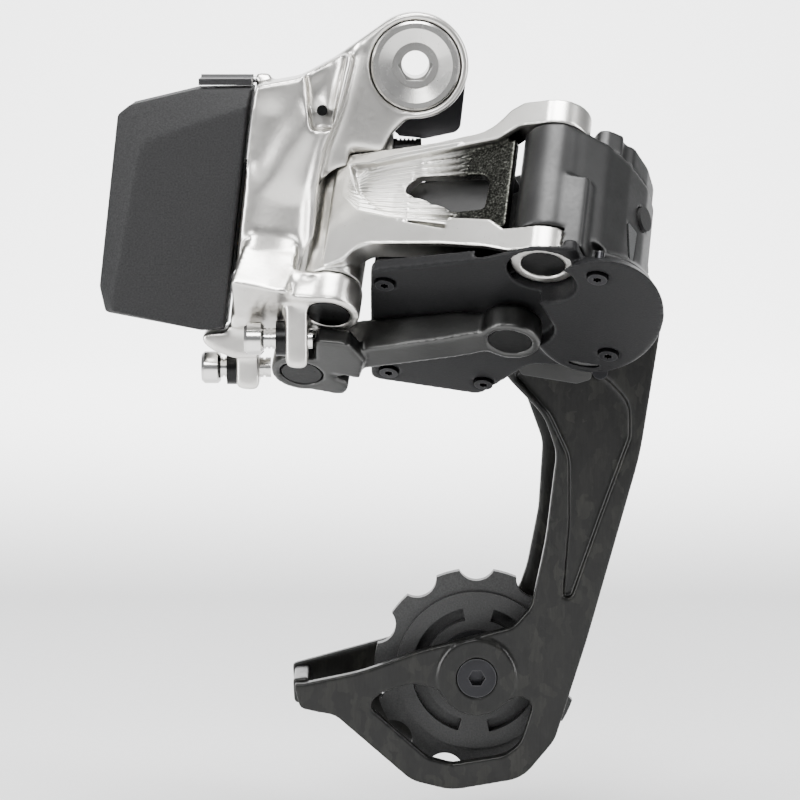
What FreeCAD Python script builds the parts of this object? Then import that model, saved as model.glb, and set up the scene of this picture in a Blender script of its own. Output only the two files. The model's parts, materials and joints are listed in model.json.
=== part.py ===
import FreeCAD, Part
import math
import os

# Rear bicycle derailleur, electronic, with its battery on the rear.  Millimetres.
# +X is forward on the bicycle, +Y points inboard to the wheel, +Z is up.
# The origin lies on the mounting bolt's axis, on the face that seats on the frame's hanger.

# ---- linkage: four pins, all parallel to one slanted axis ----
PIN_SLANT = 38.0            # the pins lean inboard by this angle, degrees
PIN_LEAN = 7.0              # and forward by this one
PIN_ORIGIN = (-16.8, -26.0, -47.1)   # lower end of the outer rear pin
LINK_LENGTH = 42.8          # between a link's two pins
DRAWN_LINK = 42.8           # link length that the outlines below are laid out for; they follow LINK_LENGTH
LINK_REST = -20.5           # direction of the links in the outermost gear, degrees
PIN_SPREAD = (-5.0, 16.4)   # from the outer pins to the inner pins, across the pin axis
PIN_R = 4.1
PIN_INNER_R = 3.9
EYE_R = 6.1                 # outer radius of the pin eyes
EYE_INNER_R = 5.9
BUSH_WALL = 0.9
RUNNING_FIT = 0.05          # radial clearance of a turning pin or axle
FACE_GAP = 0.3              # between faces that slide past each other
SEAT_GAP = 0.02             # between fixed pieces that sit in each other

# ---- levels along the pin axis, from the lower end of the outer rear pin ----
REAR_EYE_H = 6.5            # thickness of the rear knuckle's lower eye
REAR_EYE_TOP = 33.3         # where its upper eye starts
REAR_EYE_END = 39.0
REAR_PIN_END = 36.6
LINK_LOW = REAR_EYE_H + FACE_GAP
LINK_TOP_END = 40.8         # top of the outer link's upper front eye
FRONT_EYE_H = 5.1           # thickness of the outer link's lower front eye
HOUSING_LOW = LINK_LOW + FRONT_EYE_H + FACE_GAP
HOUSING_TOP = 35.2
INNER_REAR_LOW = -4.0
INNER_REAR_H = 5.5
INNER_FRONT_LOW = -0.9
INNER_TOP = 4.9             # highest level of the inner link
SPLIT_LEVEL = 8.0           # joint between the gearbox cover and the housing
COVER_LOW = 2.5             # outer face of the gearbox cover round the cage pivot
TONGUE_LOW = INNER_TOP + 0.6   # outer face of its rear half, which the inner link passes

# ---- mounting ----
BOLT_THREAD_R = 5.0
BOLT_SHANK_R = 6.0
BOLT_NECK_R = 4.6           # undercut between the shank's shoulder and the thread
BOLT_HEAD_R = 8.6
BOLT_HEAD_H = 2.6
BOLT_THREAD_END = 9.5
BOLT_HEX = 6.0              # across flats
BOLT_HOLE_R = 2.7
BOLT_DISH_R = 7.2           # the head is dished inside a flat rim
BOLT_WELL_R = 4.5           # and has a flat-bottomed well round its socket
BOSS_R = 10.3
BOSS_FRONT = -13.0
BOSS_BACK = -2.8
STOP_PLATE_T = 2.5

# ---- battery ----
BATTERY_FRONT = -20.0
BATTERY_BACK = -2.5
BATTERY_BEVEL = 3.2
BATTERY_GAP = 0.4
CASE_WALL = 1.6

# ---- drive housing and cage pivot ----
CAGE_AXIS = (34.3, -46.8)   # X and Z of the cage's pivot, which runs along Y
PIVOT_R = 12.5
PIVOT_BACK = 2.6
HOUSING_WALL = 1.8
AXLE_R = 4.5
SPRING_R = 7.4
SPRING_WIRE_R = 0.9
SPRING_TURNS = 3.5
CAVITY_R = 9.6
CAVITY_FRONT = -12.0

# ---- cage and pulleys ----
PULLEY_TEETH = 11
CHAIN_PITCH = 12.7
ROLLER_R = 3.9
PULLEY_TIP_R = 20.9
PULLEY_Y = 12.0             # middle plane of the chain
PULLEY_T = 2.2
UPPER_PULLEY = (26.4, -43.1)
LOWER_PULLEY = (12.6, -124.5)
OUTER_PLATE_Y = 3.2         # outboard face of the outer cage plate
OUTER_PLATE_T = 2.6
INNER_PLATE_T = 2.0
LOWER_BOLT_FACE = OUTER_PLATE_Y - 0.5
OUTER_PLATE_END = OUTER_PLATE_Y + OUTER_PLATE_T
INNER_PLATE_Y = 2 * PULLEY_Y - OUTER_PLATE_END
BEARING_R = 7.0
PULLEY_BOLT_R = 2.5
BOLT_CAP_R = 4.0
BOLT_CAP_T = 1.3
SLEEVE_R = 4.2
PULLEY_TURN = 8.0           # angle of a tooth from forward, degrees
SCOOP_DEPTH = 1.1
STOP_PIN = (36.9, -61.1)
STOP_PIN_R = 1.6

# ---- drive train ----
GEAR_MODULE = 0.8
SECTOR_TEETH = 30
IDLER_SMALL_TEETH = 10
IDLER_LARGE_TEETH = 20
MOTOR_TEETH = 8
BACKLASH = 0.16
GEAR_LOW = 8.6
GEAR_T = 2.4
SPINDLE_R = 3.0             # shaft of the inner front pin that carries the sector gear
OPEN_PIVOT_GAP = 0.12
IDLER_DIRECTION = 140.0     # from the sector gear to the idler, degrees
MOTOR_DIRECTION = 215.0     # from the idler to the motor
MOTOR_R = 5.0
MOTOR_SHAFT_R = 0.8
MOTOR_H = 11.0

X_AXIS = FreeCAD.Vector(1, 0, 0)
Y_AXIS = FreeCAD.Vector(0, 1, 0)
Z_AXIS = FreeCAD.Vector(0, 0, 1)
ORIGIN = FreeCAD.Vector(0, 0, 0)


def pin_frame():
    """Placement of the linkage's own frame: its third axis runs along the pins."""
    slant = math.radians(PIN_SLANT)
    lean = math.radians(PIN_LEAN)
    along = FreeCAD.Vector(math.sin(lean), math.cos(lean) * math.sin(slant), math.cos(lean) * math.cos(slant))
    across = FreeCAD.Vector(0, math.cos(slant), -math.sin(slant))
    forward = across.cross(along)
    matrix = FreeCAD.Matrix(
        forward.x, across.x, along.x, PIN_ORIGIN[0],
        forward.y, across.y, along.y, PIN_ORIGIN[1],
        forward.z, across.z, along.z, PIN_ORIGIN[2],
        0, 0, 0, 1)
    return FreeCAD.Placement(matrix)


PIN_FRAME = pin_frame()


def polar(radius, degrees, centre=(0.0, 0.0)):
    angle = math.radians(degrees)
    return (centre[0] + radius * math.cos(angle), centre[1] + radius * math.sin(angle))


PIN_A = (0.0, 0.0)
PIN_C = polar(LINK_LENGTH, LINK_REST)
PIN_B = PIN_SPREAD
PIN_D = (PIN_C[0] + PIN_SPREAD[0], PIN_C[1] + PIN_SPREAD[1])
FRONT_C = polar(DRAWN_LINK, LINK_REST)     # the two front pins, as the drive knuckle is laid out round them
FRONT_D = (FRONT_C[0] + PIN_SPREAD[0], FRONT_C[1] + PIN_SPREAD[1])
FRONT_MOVE = (PIN_C[0] - FRONT_C[0], PIN_C[1] - FRONT_C[1])


def outline(points, corner=0.0):
    """Closed wire in the XY plane; a point is (x, y) or (x, y, corner radius)."""
    count = len(points)
    edges = []
    ends = []
    for i in range(count):
        here = FreeCAD.Vector(points[i][0], points[i][1], 0)
        before = FreeCAD.Vector(points[i - 1][0], points[i - 1][1], 0) - here
        after = FreeCAD.Vector(points[(i + 1) % count][0], points[(i + 1) % count][1], 0) - here
        radius = points[i][2] if len(points[i]) > 2 else corner
        half = before.getAngle(after) / 2
        if radius <= 0 or half > math.pi / 2 - 0.01:
            ends.append((here, None, here))
            continue
        reach = radius / math.tan(half)
        limit = 0.49 * min(before.Length, after.Length)
        if reach > limit:
            radius = radius * limit / reach
            reach = limit
        before.normalize()
        after.normalize()
        middle = before + after
        middle.normalize()
        top = here + middle * (radius / math.sin(half) - radius)
        ends.append((here + before * reach, top, here + after * reach))
    for i in range(count):
        start, top, end = ends[i]
        if top is not None:
            edges.append(Part.Arc(start, top, end).toShape())
        follow = ends[(i + 1) % count][0]
        if end.distanceToPoint(follow) > 1e-6:
            edges.append(Part.LineSegment(end, follow).toShape())
    return Part.Wire(edges)


def in_pin_frame(shape):
    shape.Placement = PIN_FRAME.multiply(shape.Placement)
    return shape


def pin_prism(points, low, high, corner=0.0):
    """Prism along the pin axis, with its outline in the linkage's frame."""
    solid = Part.Face(outline(points, corner)).extrude(FreeCAD.Vector(0, 0, high - low))
    solid.translate(FreeCAD.Vector(0, 0, low))
    return in_pin_frame(solid)


def pin_loft(low_points, low, high_points, high):
    """Straight-sided solid along the pin axis between two outlines with as many corners."""
    wires = []
    for points, level in ((low_points, low), (high_points, high)):
        corners = [FreeCAD.Vector(u, v, level) for u, v in points]
        wires.append(Part.makePolygon(corners + corners[:1]))
    return in_pin_frame(Part.makeLoft(wires, True, True))


def pin_rod(centre, radius, low, high):
    place = FreeCAD.Vector(centre[0], centre[1], low)
    return in_pin_frame(Part.makeCylinder(radius, high - low, place, Z_AXIS))


def side_prism(points, y_low, y_high, corner=0.0):
    """Prism along Y, with its outline given as (X, Z)."""
    solid = Part.Face(outline(points, corner)).extrude(FreeCAD.Vector(0, 0, y_high - y_low))
    solid.translate(FreeCAD.Vector(0, 0, -y_high))
    solid.rotate(ORIGIN, X_AXIS, 90)
    return solid


def rod_y(centre, radius, y_low, y_high):
    return Part.makeCylinder(radius, y_high - y_low, FreeCAD.Vector(centre[0], y_low, centre[1]), Y_AXIS)


def rod_x(y, z, radius, x_low, x_high):
    return Part.makeCylinder(radius, x_high - x_low, FreeCAD.Vector(x_low, y, z), X_AXIS)


def box(x, y, z):
    """Box between two corners, each axis given as (low, high)."""
    return Part.makeBox(x[1] - x[0], y[1] - y[0], z[1] - z[0], FreeCAD.Vector(x[0], y[0], z[0]))


def pin_box(u, v, w):
    return in_pin_frame(box(u, v, w))


def fuse(first, *others):
    shape = first
    for other in others:
        shape = shape.fuse(other)
    return shape.removeSplitter()


def cut(first, *others):
    shape = first
    for other in others:
        shape = shape.cut(other)
    return shape


def ring(solid, hole):
    return solid.cut(hole)


def hexagon(flats):
    return [polar(flats / math.sqrt(3), 60 * i) for i in range(6)]


def hex_socket_y(centre, flats, y_low, y_high):
    points = [(centre[0] + x, centre[1] + z) for x, z in hexagon(flats)]
    return side_prism(points, y_low, y_high)


def save(name, shape):
    solids = shape.Solids
    body = solids[0] if len(solids) == 1 else Part.makeCompound(solids)
    body.exportStep("parts/" + name + ".step")
    print(name, len(solids), round(shape.Volume, 1), shape.isValid())


# ------------------------------------------------------------------ hanger side

def mounting_bolt():
    head = rod_y((0, 0), BOLT_HEAD_R, BOSS_FRONT - 0.2, BOSS_FRONT - 0.2 + BOLT_HEAD_H)
    head = head.makeChamfer(0.4, [head.Edges[0], head.Edges[2]])
    shank = rod_y((0, 0), BOLT_SHANK_R, BOSS_FRONT, -STOP_PLATE_T)
    neck = rod_y((0, 0), BOLT_NECK_R, -STOP_PLATE_T, 0)
    thread = rod_y((0, 0), BOLT_THREAD_R, 0, BOLT_THREAD_END)
    bolt = fuse(head, shank, neck, thread)
    for i in range(9):
        y = 0.8 + i
        groove = ring(rod_y((0, 0), BOLT_THREAD_R + 0.5, y, y + 0.45),
                      rod_y((0, 0), BOLT_THREAD_R - 0.45, y, y + 0.45))
        bolt = bolt.cut(groove)
    face = BOSS_FRONT - 0.2
    dish = Part.makeCone(BOLT_DISH_R, BOLT_WELL_R, 1.1, FreeCAD.Vector(0, face, 0), Y_AXIS)
    well = rod_y((0, 0), BOLT_WELL_R, face, face + 2.4)
    socket = hex_socket_y((0, 0), BOLT_HEX, face, BOSS_FRONT + 7)
    return cut(bolt, dish, well, socket, rod_y((0, 0), BOLT_HOLE_R, BOSS_FRONT - 1, BOLT_THREAD_END + 1))


def hanger_stop_plate():
    tab = side_prism([(-4, -13.6, 1), (1.7, -14.7, 2), (8.8, -13.2, 2), (10.2, -1, 1), (9, 4, 2), (-8, 3, 1)],
                     -STOP_PLATE_T, 0)
    disc = rod_y((0, 0), 10.0, -STOP_PLATE_T, 0)
    stop = side_prism([(-3.5, -14.2, 0.6), (1.7, -14.7, 0.6), (1.7, -11.6, 0.6), (-3.5, -11.2, 0.6)], -0.5, 4.5)
    plate = fuse(tab, disc, stop)
    recess = rod_y((0, 0), 7.6, -1.2, 0)
    return cut(plate, recess, rod_y((0, 0), BOLT_THREAD_R + SEAT_GAP, -STOP_PLATE_T, 0))


def mounting_bolt_clip():
    clip = ring(rod_y((0, 0), 7.2, -1.1, -0.2), rod_y((0, 0), BOLT_NECK_R + SEAT_GAP, -1.1, -0.2))
    return clip.cut(box((-1.6, 1.6), (-1.5, 0), (-9, 0)))


# ------------------------------------------------------------------ rear knuckle

KNUCKLE_FRONT = -21.0
SCREW_HEAD_R = 3.2
SCREW_R = 2.0
LOW_SCREW = (-7.3, -59.4)     # Y and Z of the screw that limits inboard travel
HIGH_SCREW = (-23.8, -51.7)    # and of the one that limits outboard travel
ADJUST_SCREW = (-5.6, -16.4)
TAB_LOW_X = (-35.2, -30.6)
TAB_HIGH_X = (-24.9, -20.6)


def tapped_x(y, z, x_low, x_high):
    return rod_x(y, z, SCREW_R + SEAT_GAP, x_low, x_high)


def b_knuckle():
    boss = rod_y((0, 0), BOSS_R, BOSS_FRONT, BOSS_BACK)
    arm = side_prism([(-31, -3.6, 1), (-22.3, -2.0, 6), (-15.6, 1.6, 12), (-5.5, 8.7), (5.5, -8.7),
                      (1.6, -9.4, 3), (-1.6, -10.3, 3), (-4.4, -13.0, 3), (-6.0, -16.0, 3), (-7.5, -19.5, 3),
                      (-31, -26)], BOSS_FRONT, BOSS_BACK - 0.2)
    cheek = side_prism([(-30.7, -3.5, 1), (-22.3, -2.0, 6), (-15.6, 1.6, 6), (-11.5, 3.2, 3), (-13.8, -6.6, 9),
                        (-17.4, -15.7, 9), (-18.8, -23, 9), (-19.4, -33, 9), (-19.0, -39, 3), (-22.5, -46, 3),
                        (-26, -48.6, 2), (-36.0, -50.5, 1)], KNUCKLE_FRONT, -3.2)
    ramp_cut = side_prism([(-22, 6), (-12.5, 6), (-16.0, -12.0), (-20.0, -12.0)], KNUCKLE_FRONT - 1, -17.0)
    low_eye = pin_prism([polar(EYE_R, -115), polar(EYE_R, -60), polar(EYE_R, -10), polar(EYE_R, 40),
                         polar(EYE_R, 85), (-12, 9.5), (-18.5, 12), (-18.5, -5)], 0, REAR_EYE_H, 2.5)
    low_round = pin_rod(PIN_A, EYE_R, 0, REAR_EYE_H)
    low_web = pin_loft([(-7.2, -7.0), (-7.2, 11), (-18.5, 11), (-18.5, -8.5)], 0,
                       [(-8.6, -1.0), (-8.6, 6), (-16.5, 6), (-16.5, -0.5)], 31)
    high_eye = pin_rod(PIN_A, EYE_R, REAR_EYE_TOP, REAR_EYE_END)
    high_web = pin_prism([(-17, -4), (2, -6.1), (3.5, -4), (2.5, 5.0), (-17, 8)], REAR_EYE_TOP, REAR_EYE_END, 1)
    wall = pin_prism([(-7.4, -5), (-7.4, 6), (-17, 8), (-17, -6)], 10, REAR_EYE_END, 1)
    inner_eye = pin_rod(PIN_B, EYE_R, INNER_REAR_LOW + INNER_REAR_H + FACE_GAP, 9.5)
    inner_web = pin_prism([(-10.9, 14), (-6.5, 10.6), (-8, 0), (-18, 0), (-18, 14)],
                          INNER_REAR_LOW + INNER_REAR_H + FACE_GAP, 9.5, 0.5)
    foot = side_prism([(-36.0, -50.0, 0.5), (-33, -48, 1), (-27, -47, 1), (-30.2, -52.5, 3), (-30.6, -56.5),
                       (-35.2, -56.5), (-39.5, -54.9, 2), (-41.4, -53.3, 0.8), (-41.4, -51.7, 0.5)], -17.5, -5.5)
    low_tab = side_prism([(TAB_LOW_X[0], -54), (TAB_LOW_X[1], -54), (TAB_LOW_X[1], -63.6, 1.2),
                          (TAB_LOW_X[0], -63.2, 1.2)], LOW_SCREW[0] - 4.3, LOW_SCREW[0] + 4.3)
    high_tab = side_prism([(TAB_HIGH_X[0], -45), (TAB_HIGH_X[1], -45), (TAB_HIGH_X[1], -57.2, 1.2),
                           (TAB_HIGH_X[0], -56.9, 1.2)], HIGH_SCREW[0] - 4.3, HIGH_SCREW[0] + 3.6)
    adjust_lug = box((-9.5, -4.2), (ADJUST_SCREW[0] - 3.4, BOSS_BACK - 0.2), (-20.0, -12.5))
    knuckle = fuse(boss, arm, cheek.cut(ramp_cut), low_eye, low_round, low_web, high_eye, high_web, wall,
                   inner_eye, inner_web, foot, low_tab, high_tab, adjust_lug, latch_ear())
    slot = pin_rod(PIN_A, EYE_R + 0.5, REAR_EYE_H, REAR_EYE_TOP)
    sweep = pin_box((0, 48), (-9, 50), (REAR_EYE_H, REAR_EYE_TOP))
    inner_sweep = pin_rod(PIN_B, EYE_R + 0.6, INNER_REAR_LOW - 6, INNER_REAR_LOW + INNER_REAR_H + FACE_GAP)
    inner_rise = pin_rod(PIN_B, EYE_R + 0.6, 0, INNER_TOP + 0.4).cut(pin_rod(PIN_B, EYE_R + 0.01, -1, 8))
    inner_rise = inner_rise.common(pin_box((-6, 3), (8, 25), (-1, 8)))
    knuckle = cut(knuckle, slot, sweep, inner_sweep, inner_rise,
                  rod_y((0, 0), BOLT_HEAD_R + 0.15, BOSS_FRONT - 1, BOSS_FRONT - 0.1 + BOLT_HEAD_H),
                  rod_y((0, 0), BOLT_SHANK_R + 1.0 + SEAT_GAP, BOSS_FRONT, BOSS_BACK + 1),
                  pin_rod(PIN_A, PIN_R + SEAT_GAP, -1, REAR_PIN_END + 0.1),
                  pin_rod(PIN_B, PIN_INNER_R + SEAT_GAP, INNER_REAR_LOW - 1, 8.5),
                  tapped_x(*LOW_SCREW, TAB_LOW_X[0] - 1, TAB_LOW_X[1] + 1),
                  tapped_x(*HIGH_SCREW, TAB_HIGH_X[0] - 1, TAB_HIGH_X[1] + 1),
                  tapped_x(*ADJUST_SCREW, -8.0, -4),
                  rod_x(*LOW_SCREW, SCREW_HEAD_R + 0.5, -45, TAB_LOW_X[0]),
                  rod_x(*HIGH_SCREW, SCREW_HEAD_R + 0.5, -33.6, TAB_HIGH_X[0]),
                  rod_x(*LATCH_PIN, LATCH_PIN_R + SEAT_GAP, LATCH_X[1], LATCH_X[1] + 2.7),
                  rod_y((-17.9, -8.2), 1.05, -22, -17),
                  contact_block_space(SEAT_GAP))
    return knuckle.cut(battery_block(BATTERY_GAP))


def b_knuckle_bush():
    low = BOSS_FRONT - 0.2 + BOLT_HEAD_H + FACE_GAP
    return ring(rod_y((0, 0), BOLT_SHANK_R + 1.0, low, BOSS_BACK),
                rod_y((0, 0), BOLT_SHANK_R + RUNNING_FIT, low, BOSS_BACK))


def locating_pin():
    return rod_y((-17.9, -8.2), 1.03, -20.4, -17)


def link_pin_outer_rear():
    return pin_rod(PIN_A, PIN_R, 0.3, REAR_PIN_END)


def link_pin_inner_rear():
    return pin_rod(PIN_B, PIN_INNER_R, INNER_REAR_LOW + 0.3, 8.4)


def hex_socket_x(y, z, flats, x_low, x_high):
    points = [(a, b) for a, b in hexagon(flats)]
    solid = Part.Face(outline(points)).extrude(FreeCAD.Vector(0, 0, x_high - x_low))
    solid.rotate(ORIGIN, Y_AXIS, 90)
    solid.translate(FreeCAD.Vector(x_low, y, z))
    return solid


def threaded_x(y, z, x_low, x_high, plain):
    """Screw shank along X with thread grooves, left plain where a tab or collar holds it."""
    shank = rod_x(y, z, SCREW_R, x_low, x_high)
    for i in range(int((x_high - x_low - 0.4) / 0.8)):
        x = x_low + 0.4 + 0.8 * i
        if plain[0] - 0.4 < x < plain[1]:
            continue
        groove = ring(rod_x(y, z, SCREW_R + 1, x, x + 0.4), rod_x(y, z, SCREW_R - 0.3, x, x + 0.4))
        shank = shank.cut(groove)
    return shank


def limit_screw(y, z, tab_x, head_x, tip_x):
    head = rod_x(y, z, SCREW_HEAD_R, head_x, head_x + 3.8)
    head = head.makeChamfer(0.6, [head.Edges[0], head.Edges[2]])
    shank = threaded_x(y, z, head_x + 3.8, tip_x, (tab_x[0] - 2, tab_x[1]))
    return fuse(head, shank).cut(hex_socket_x(y, z, 2.5, head_x - 0.1, head_x + 2.0))


def screw_collar(y, z, tab_x):
    return ring(rod_x(y, z, 3.4, tab_x - 1.9, tab_x), rod_x(y, z, SCREW_R + SEAT_GAP, tab_x - 2, tab_x + 0.1))


# ------------------------------------------------------------------ battery

def battery_outline(grow=0.0):
    """Side view of the battery as (X, Z), with its front edge along the knuckle."""
    return [(-61.3 - grow, -42.4), (-57.4 - grow, -9.2), (-55.0, -7.3 + grow), (-42.3, -4.3 + grow),
            (-31.4 + grow, -4.1 + grow), (-37.0 + grow, -50.8 - grow), (-41.4, -51.0 - grow),
            (-60.2 - grow, -47.4 - grow)]


def battery_face_outline():
    """Flat outboard face, inside the bevel on the rear and upper edges."""
    return [(-58.6, -43.6), (-53.0, -16.0), (-51.2, -14.0), (-42.0, -10.6), (-32.2, -7.4), (-37.0, -50.0),
            (-41.4, -50.6), (-58.6, -46.8)]


def flat_wire(points, y):
    corners = [FreeCAD.Vector(x, y, z) for x, z in points]
    return Part.makePolygon(corners + corners[:1])


def battery_block(grow=0.0):
    straight = side_prism(battery_outline(grow), BATTERY_FRONT + BATTERY_BEVEL, BATTERY_BACK + grow)
    bevel = Part.makeLoft([flat_wire(battery_outline(grow), BATTERY_FRONT + BATTERY_BEVEL),
                           flat_wire(battery_face_outline(), BATTERY_FRONT)], True, True)
    return fuse(straight, bevel)


def inset_outline(points, inset):
    """The outline drawn in towards its own middle by about the given wall."""
    middle_x = sum(p[0] for p in points) / len(points)
    middle_z = sum(p[1] for p in points) / len(points)
    result = []
    for x, z in points:
        reach = math.hypot(x - middle_x, z - middle_z)
        share = 1 - 1.25 * inset / reach
        result.append((middle_x + (x - middle_x) * share, middle_z + (z - middle_z) * share))
    return result


BATTERY_LID_T = 2.0
LATCH_PIN = (-6.2, -2.9)     # Y and Z of the latch's pin, which runs along X
LATCH_PIN_R = 0.6
LATCH_BARREL_R = 1.05
LATCH_X = (-41.8, -31.6)


def battery_case():
    block = battery_block().cut(box((-70, -20), (BATTERY_BACK - BATTERY_LID_T, 5), (-60, 5)))
    hollow = side_prism(inset_outline(battery_outline(), CASE_WALL), BATTERY_FRONT + CASE_WALL + 1.6, 5)
    return block.cut(hollow)


def battery_lid():
    return side_prism(battery_outline(), BATTERY_BACK - BATTERY_LID_T + SEAT_GAP, BATTERY_BACK)


def battery_cell():
    high = BATTERY_BACK - BATTERY_LID_T - 0.3
    low = BATTERY_FRONT + CASE_WALL + 1.9
    return side_prism(inset_outline(battery_outline(), CASE_WALL + 1.6), low, high, 1.5)


def edge_x(z):
    """X of the battery's front edge at height z."""
    top = battery_outline()[4]
    low = battery_outline()[5]
    return top[0] + (z - top[1]) * (low[0] - top[0]) / (low[1] - top[1])


def edge_strip(z_low, z_high, behind, ahead, y_low, y_high):
    """Slab along the battery's front edge, from so far behind to so far ahead of it."""
    points = [(edge_x(z_low) + behind, z_low), (edge_x(z_low) + ahead, z_low),
              (edge_x(z_high) + ahead, z_high), (edge_x(z_high) + behind, z_high)]
    return side_prism(points, y_low, y_high)


CONTACT_Z = [-24.5 - 3.2 * i for i in range(4)]


def contact_block_space(grow=0.0):
    return edge_strip(-36.5 - grow, -22.0 + grow, BATTERY_GAP, BATTERY_GAP + 2.2 + grow, -13 - grow, -8 + grow)


def contact_pins(grow=0.0):
    pins = [rod_x(-10.5, z, 0.7 + grow, edge_x(z) + 0.1, edge_x(z) + BATTERY_GAP + 1.4 + grow) for z in CONTACT_Z]
    return Part.makeCompound(pins)


def contact_block():
    return contact_block_space().cut(contact_pins(SEAT_GAP))


def battery_seal():
    frame = edge_strip(-40, -18.5, 0.06, BATTERY_GAP, -16.0, -5.0)
    return frame.cut(edge_strip(-38, -20.5, 0, BATTERY_GAP + 0.1, -14.2, -6.8))


def battery_latch():
    y, z = LATCH_PIN
    plate = box(LATCH_X, (-15.5, y), (z - 0.7, z + 0.5))
    barrel = rod_x(y, z, LATCH_BARREL_R, *LATCH_X)
    return fuse(plate, barrel).cut(rod_x(y, z, LATCH_PIN_R + RUNNING_FIT, LATCH_X[0] - 1, LATCH_X[1] + 1))


def battery_latch_pin():
    return rod_x(*LATCH_PIN, LATCH_PIN_R, LATCH_X[0] + 0.3, LATCH_X[1] + 2.6)


def latch_ear():
    y, z = LATCH_PIN
    ear = fuse(rod_x(y, z, 1.4, LATCH_X[1] + 0.4, LATCH_X[1] + 3.4),
               box((LATCH_X[1] + 0.8, LATCH_X[1] + 3.4), (y - 1.4, y + 1.4), (z - 3, z)))
    return ear.cut(rod_x(y, z, LATCH_PIN_R + SEAT_GAP, LATCH_X[1], LATCH_X[1] + 2.7))


# ------------------------------------------------------------------ outer link

LINK_FACE = -6.2            # outboard face of the link, off the line between its pins
LINK_BACK = -1.0            # inboard face
WEB_FACE = -4.4             # the web between the arms is thinner
WEB_BACK = -2.2
WEB_END = 36.0
RIBS = 12                   # grooves between the ribs that fan over the web
RIB_GROOVE_W = 0.9          # at their wide front end
RIB_GROOVE_H = 0.6


def along_link(points, centre=PIN_A):
    """Points given along and across a link, turned into the linkage's frame."""
    turn = math.radians(LINK_REST)
    result = []
    for point in points:
        x = centre[0] + point[0] * math.cos(turn) - point[1] * math.sin(turn)
        y = centre[1] + point[0] * math.sin(turn) + point[1] * math.cos(turn)
        result.append((x, y) + tuple(point[2:]))
    return result


def link_elevation(points, near, far, corner=0.0, centre=PIN_A):
    """Prism across a link: the outline is (along the link, level on the pin axis)."""
    stretch = LINK_LENGTH / DRAWN_LINK
    points = [(point[0] * stretch,) + tuple(point[1:]) for point in points]
    solid = Part.Face(outline(points, corner)).extrude(FreeCAD.Vector(0, 0, far - near))
    solid.translate(FreeCAD.Vector(0, 0, -far))
    solid.rotate(ORIGIN, X_AXIS, 90)
    solid.rotate(ORIGIN, Z_AXIS, LINK_REST)
    solid.translate(FreeCAD.Vector(centre[0], centre[1], 0))
    return in_pin_frame(solid)


def outer_link():
    barrel = pin_rod(PIN_A, 5.7, LINK_LOW, REAR_EYE_TOP - FACE_GAP)
    low_ear = pin_rod(PIN_C, EYE_R, LINK_LOW, LINK_LOW + FRONT_EYE_H)
    high_ear = pin_rod(PIN_C, EYE_R, HOUSING_TOP + FACE_GAP, LINK_TOP_END)
    shoulder = link_elevation([(0, LINK_LOW, 1), (4, LINK_LOW + 1.4, 3), (7.5, 11.8, 6), (24, 10.0, 8),
                               (33, 8.4, 4), (38, LINK_LOW, 2), (DRAWN_LINK, LINK_LOW),
                               (DRAWN_LINK, LINK_LOW + FRONT_EYE_H), (36.4, LINK_LOW + FRONT_EYE_H),
                               (33.5, 14.4, 2), (20, 16.6, 8), (11, 18.5, 5), (5, 24, 5), (2, 32.8), (0, 32.8)],
                              LINK_FACE, LINK_BACK)
    top_arm = link_elevation([(0, 30.6, 1), (0, 33.0), (2.5, 33.0, 1), (20, 33.6, 30), (31, 35.0, 8),
                              (35, 39.5, 3), (37.5, LINK_TOP_END), (DRAWN_LINK, LINK_TOP_END),
                              (DRAWN_LINK, HOUSING_TOP + FACE_GAP), (37, HOUSING_TOP + FACE_GAP, 1),
                              (33, 33.0, 3), (20, 31.6, 30), (8, 30.4, 4)], LINK_FACE, LINK_BACK)
    web = link_elevation([(3, 12), (33.5, 12.6), (WEB_END, 14.0), (WEB_END, 33.5), (33, 34), (20, 32.6), (3, 32)],
                         WEB_FACE, WEB_BACK)
    window = link_elevation([(13.6, 24.2, 1.2), (16.5, 27.4, 1.5), (30.0, 26.2, 1.0), (31.6, 24.5, 1),
                             (31.2, 18.2, 0.8), (25.6, 18.2, 3)], LINK_FACE - 1, LINK_BACK + 1)
    link = fuse(barrel, low_ear, high_ear, shoulder, top_arm, web).cut(window)
    for i in range(RIBS):
        link = link.cut(rib_groove(i))
    return cut(link,
               pin_rod(PIN_A, PIN_R + BUSH_WALL + SEAT_GAP, LINK_LOW - 1, LINK_LOW + 8),
               pin_rod(PIN_A, PIN_R + BUSH_WALL + SEAT_GAP, REAR_EYE_TOP - 8, REAR_EYE_TOP),
               pin_rod(PIN_A, PIN_R + 0.4, LINK_LOW - 1, REAR_EYE_TOP),
               pin_rod(PIN_C, PIN_R + SEAT_GAP, LINK_LOW - 1, LINK_TOP_END - 1.6),
               pin_rod(PIN_C, EYE_R + 0.4, HOUSING_LOW - FACE_GAP, HOUSING_TOP + FACE_GAP))


def rib_groove(index):
    """One of the shallow grooves that fan out over the web from the rear barrel."""
    share = index / (RIBS - 1)
    start = (6.0 + 7.0 * abs(share - 0.45), 18.0 + 12.6 * share)
    end = (24.5 + 3.0 * share, 13.8 + 17.4 * share)
    points = [start, (end[0], end[1] - RIB_GROOVE_W / 2), (end[0], end[1] + RIB_GROOVE_W / 2)]
    return link_elevation(points, LINK_FACE - 1, WEB_FACE + RIB_GROOVE_H)


def pivot_bush(centre, pin_radius, low, high):
    return ring(pin_rod(centre, pin_radius + BUSH_WALL, low, high),
                pin_rod(centre, pin_radius + RUNNING_FIT, low, high))


def outer_link_bushes():
    return Part.makeCompound([pivot_bush(PIN_A, PIN_R, LINK_LOW + 0.1, LINK_LOW + 8),
                              pivot_bush(PIN_A, PIN_R, REAR_EYE_TOP - 8, REAR_EYE_TOP - FACE_GAP - 0.1)])


def link_pin_outer_front():
    return pin_rod(PIN_C, PIN_R, LINK_LOW + 0.3, LINK_TOP_END - 1.7)


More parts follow.
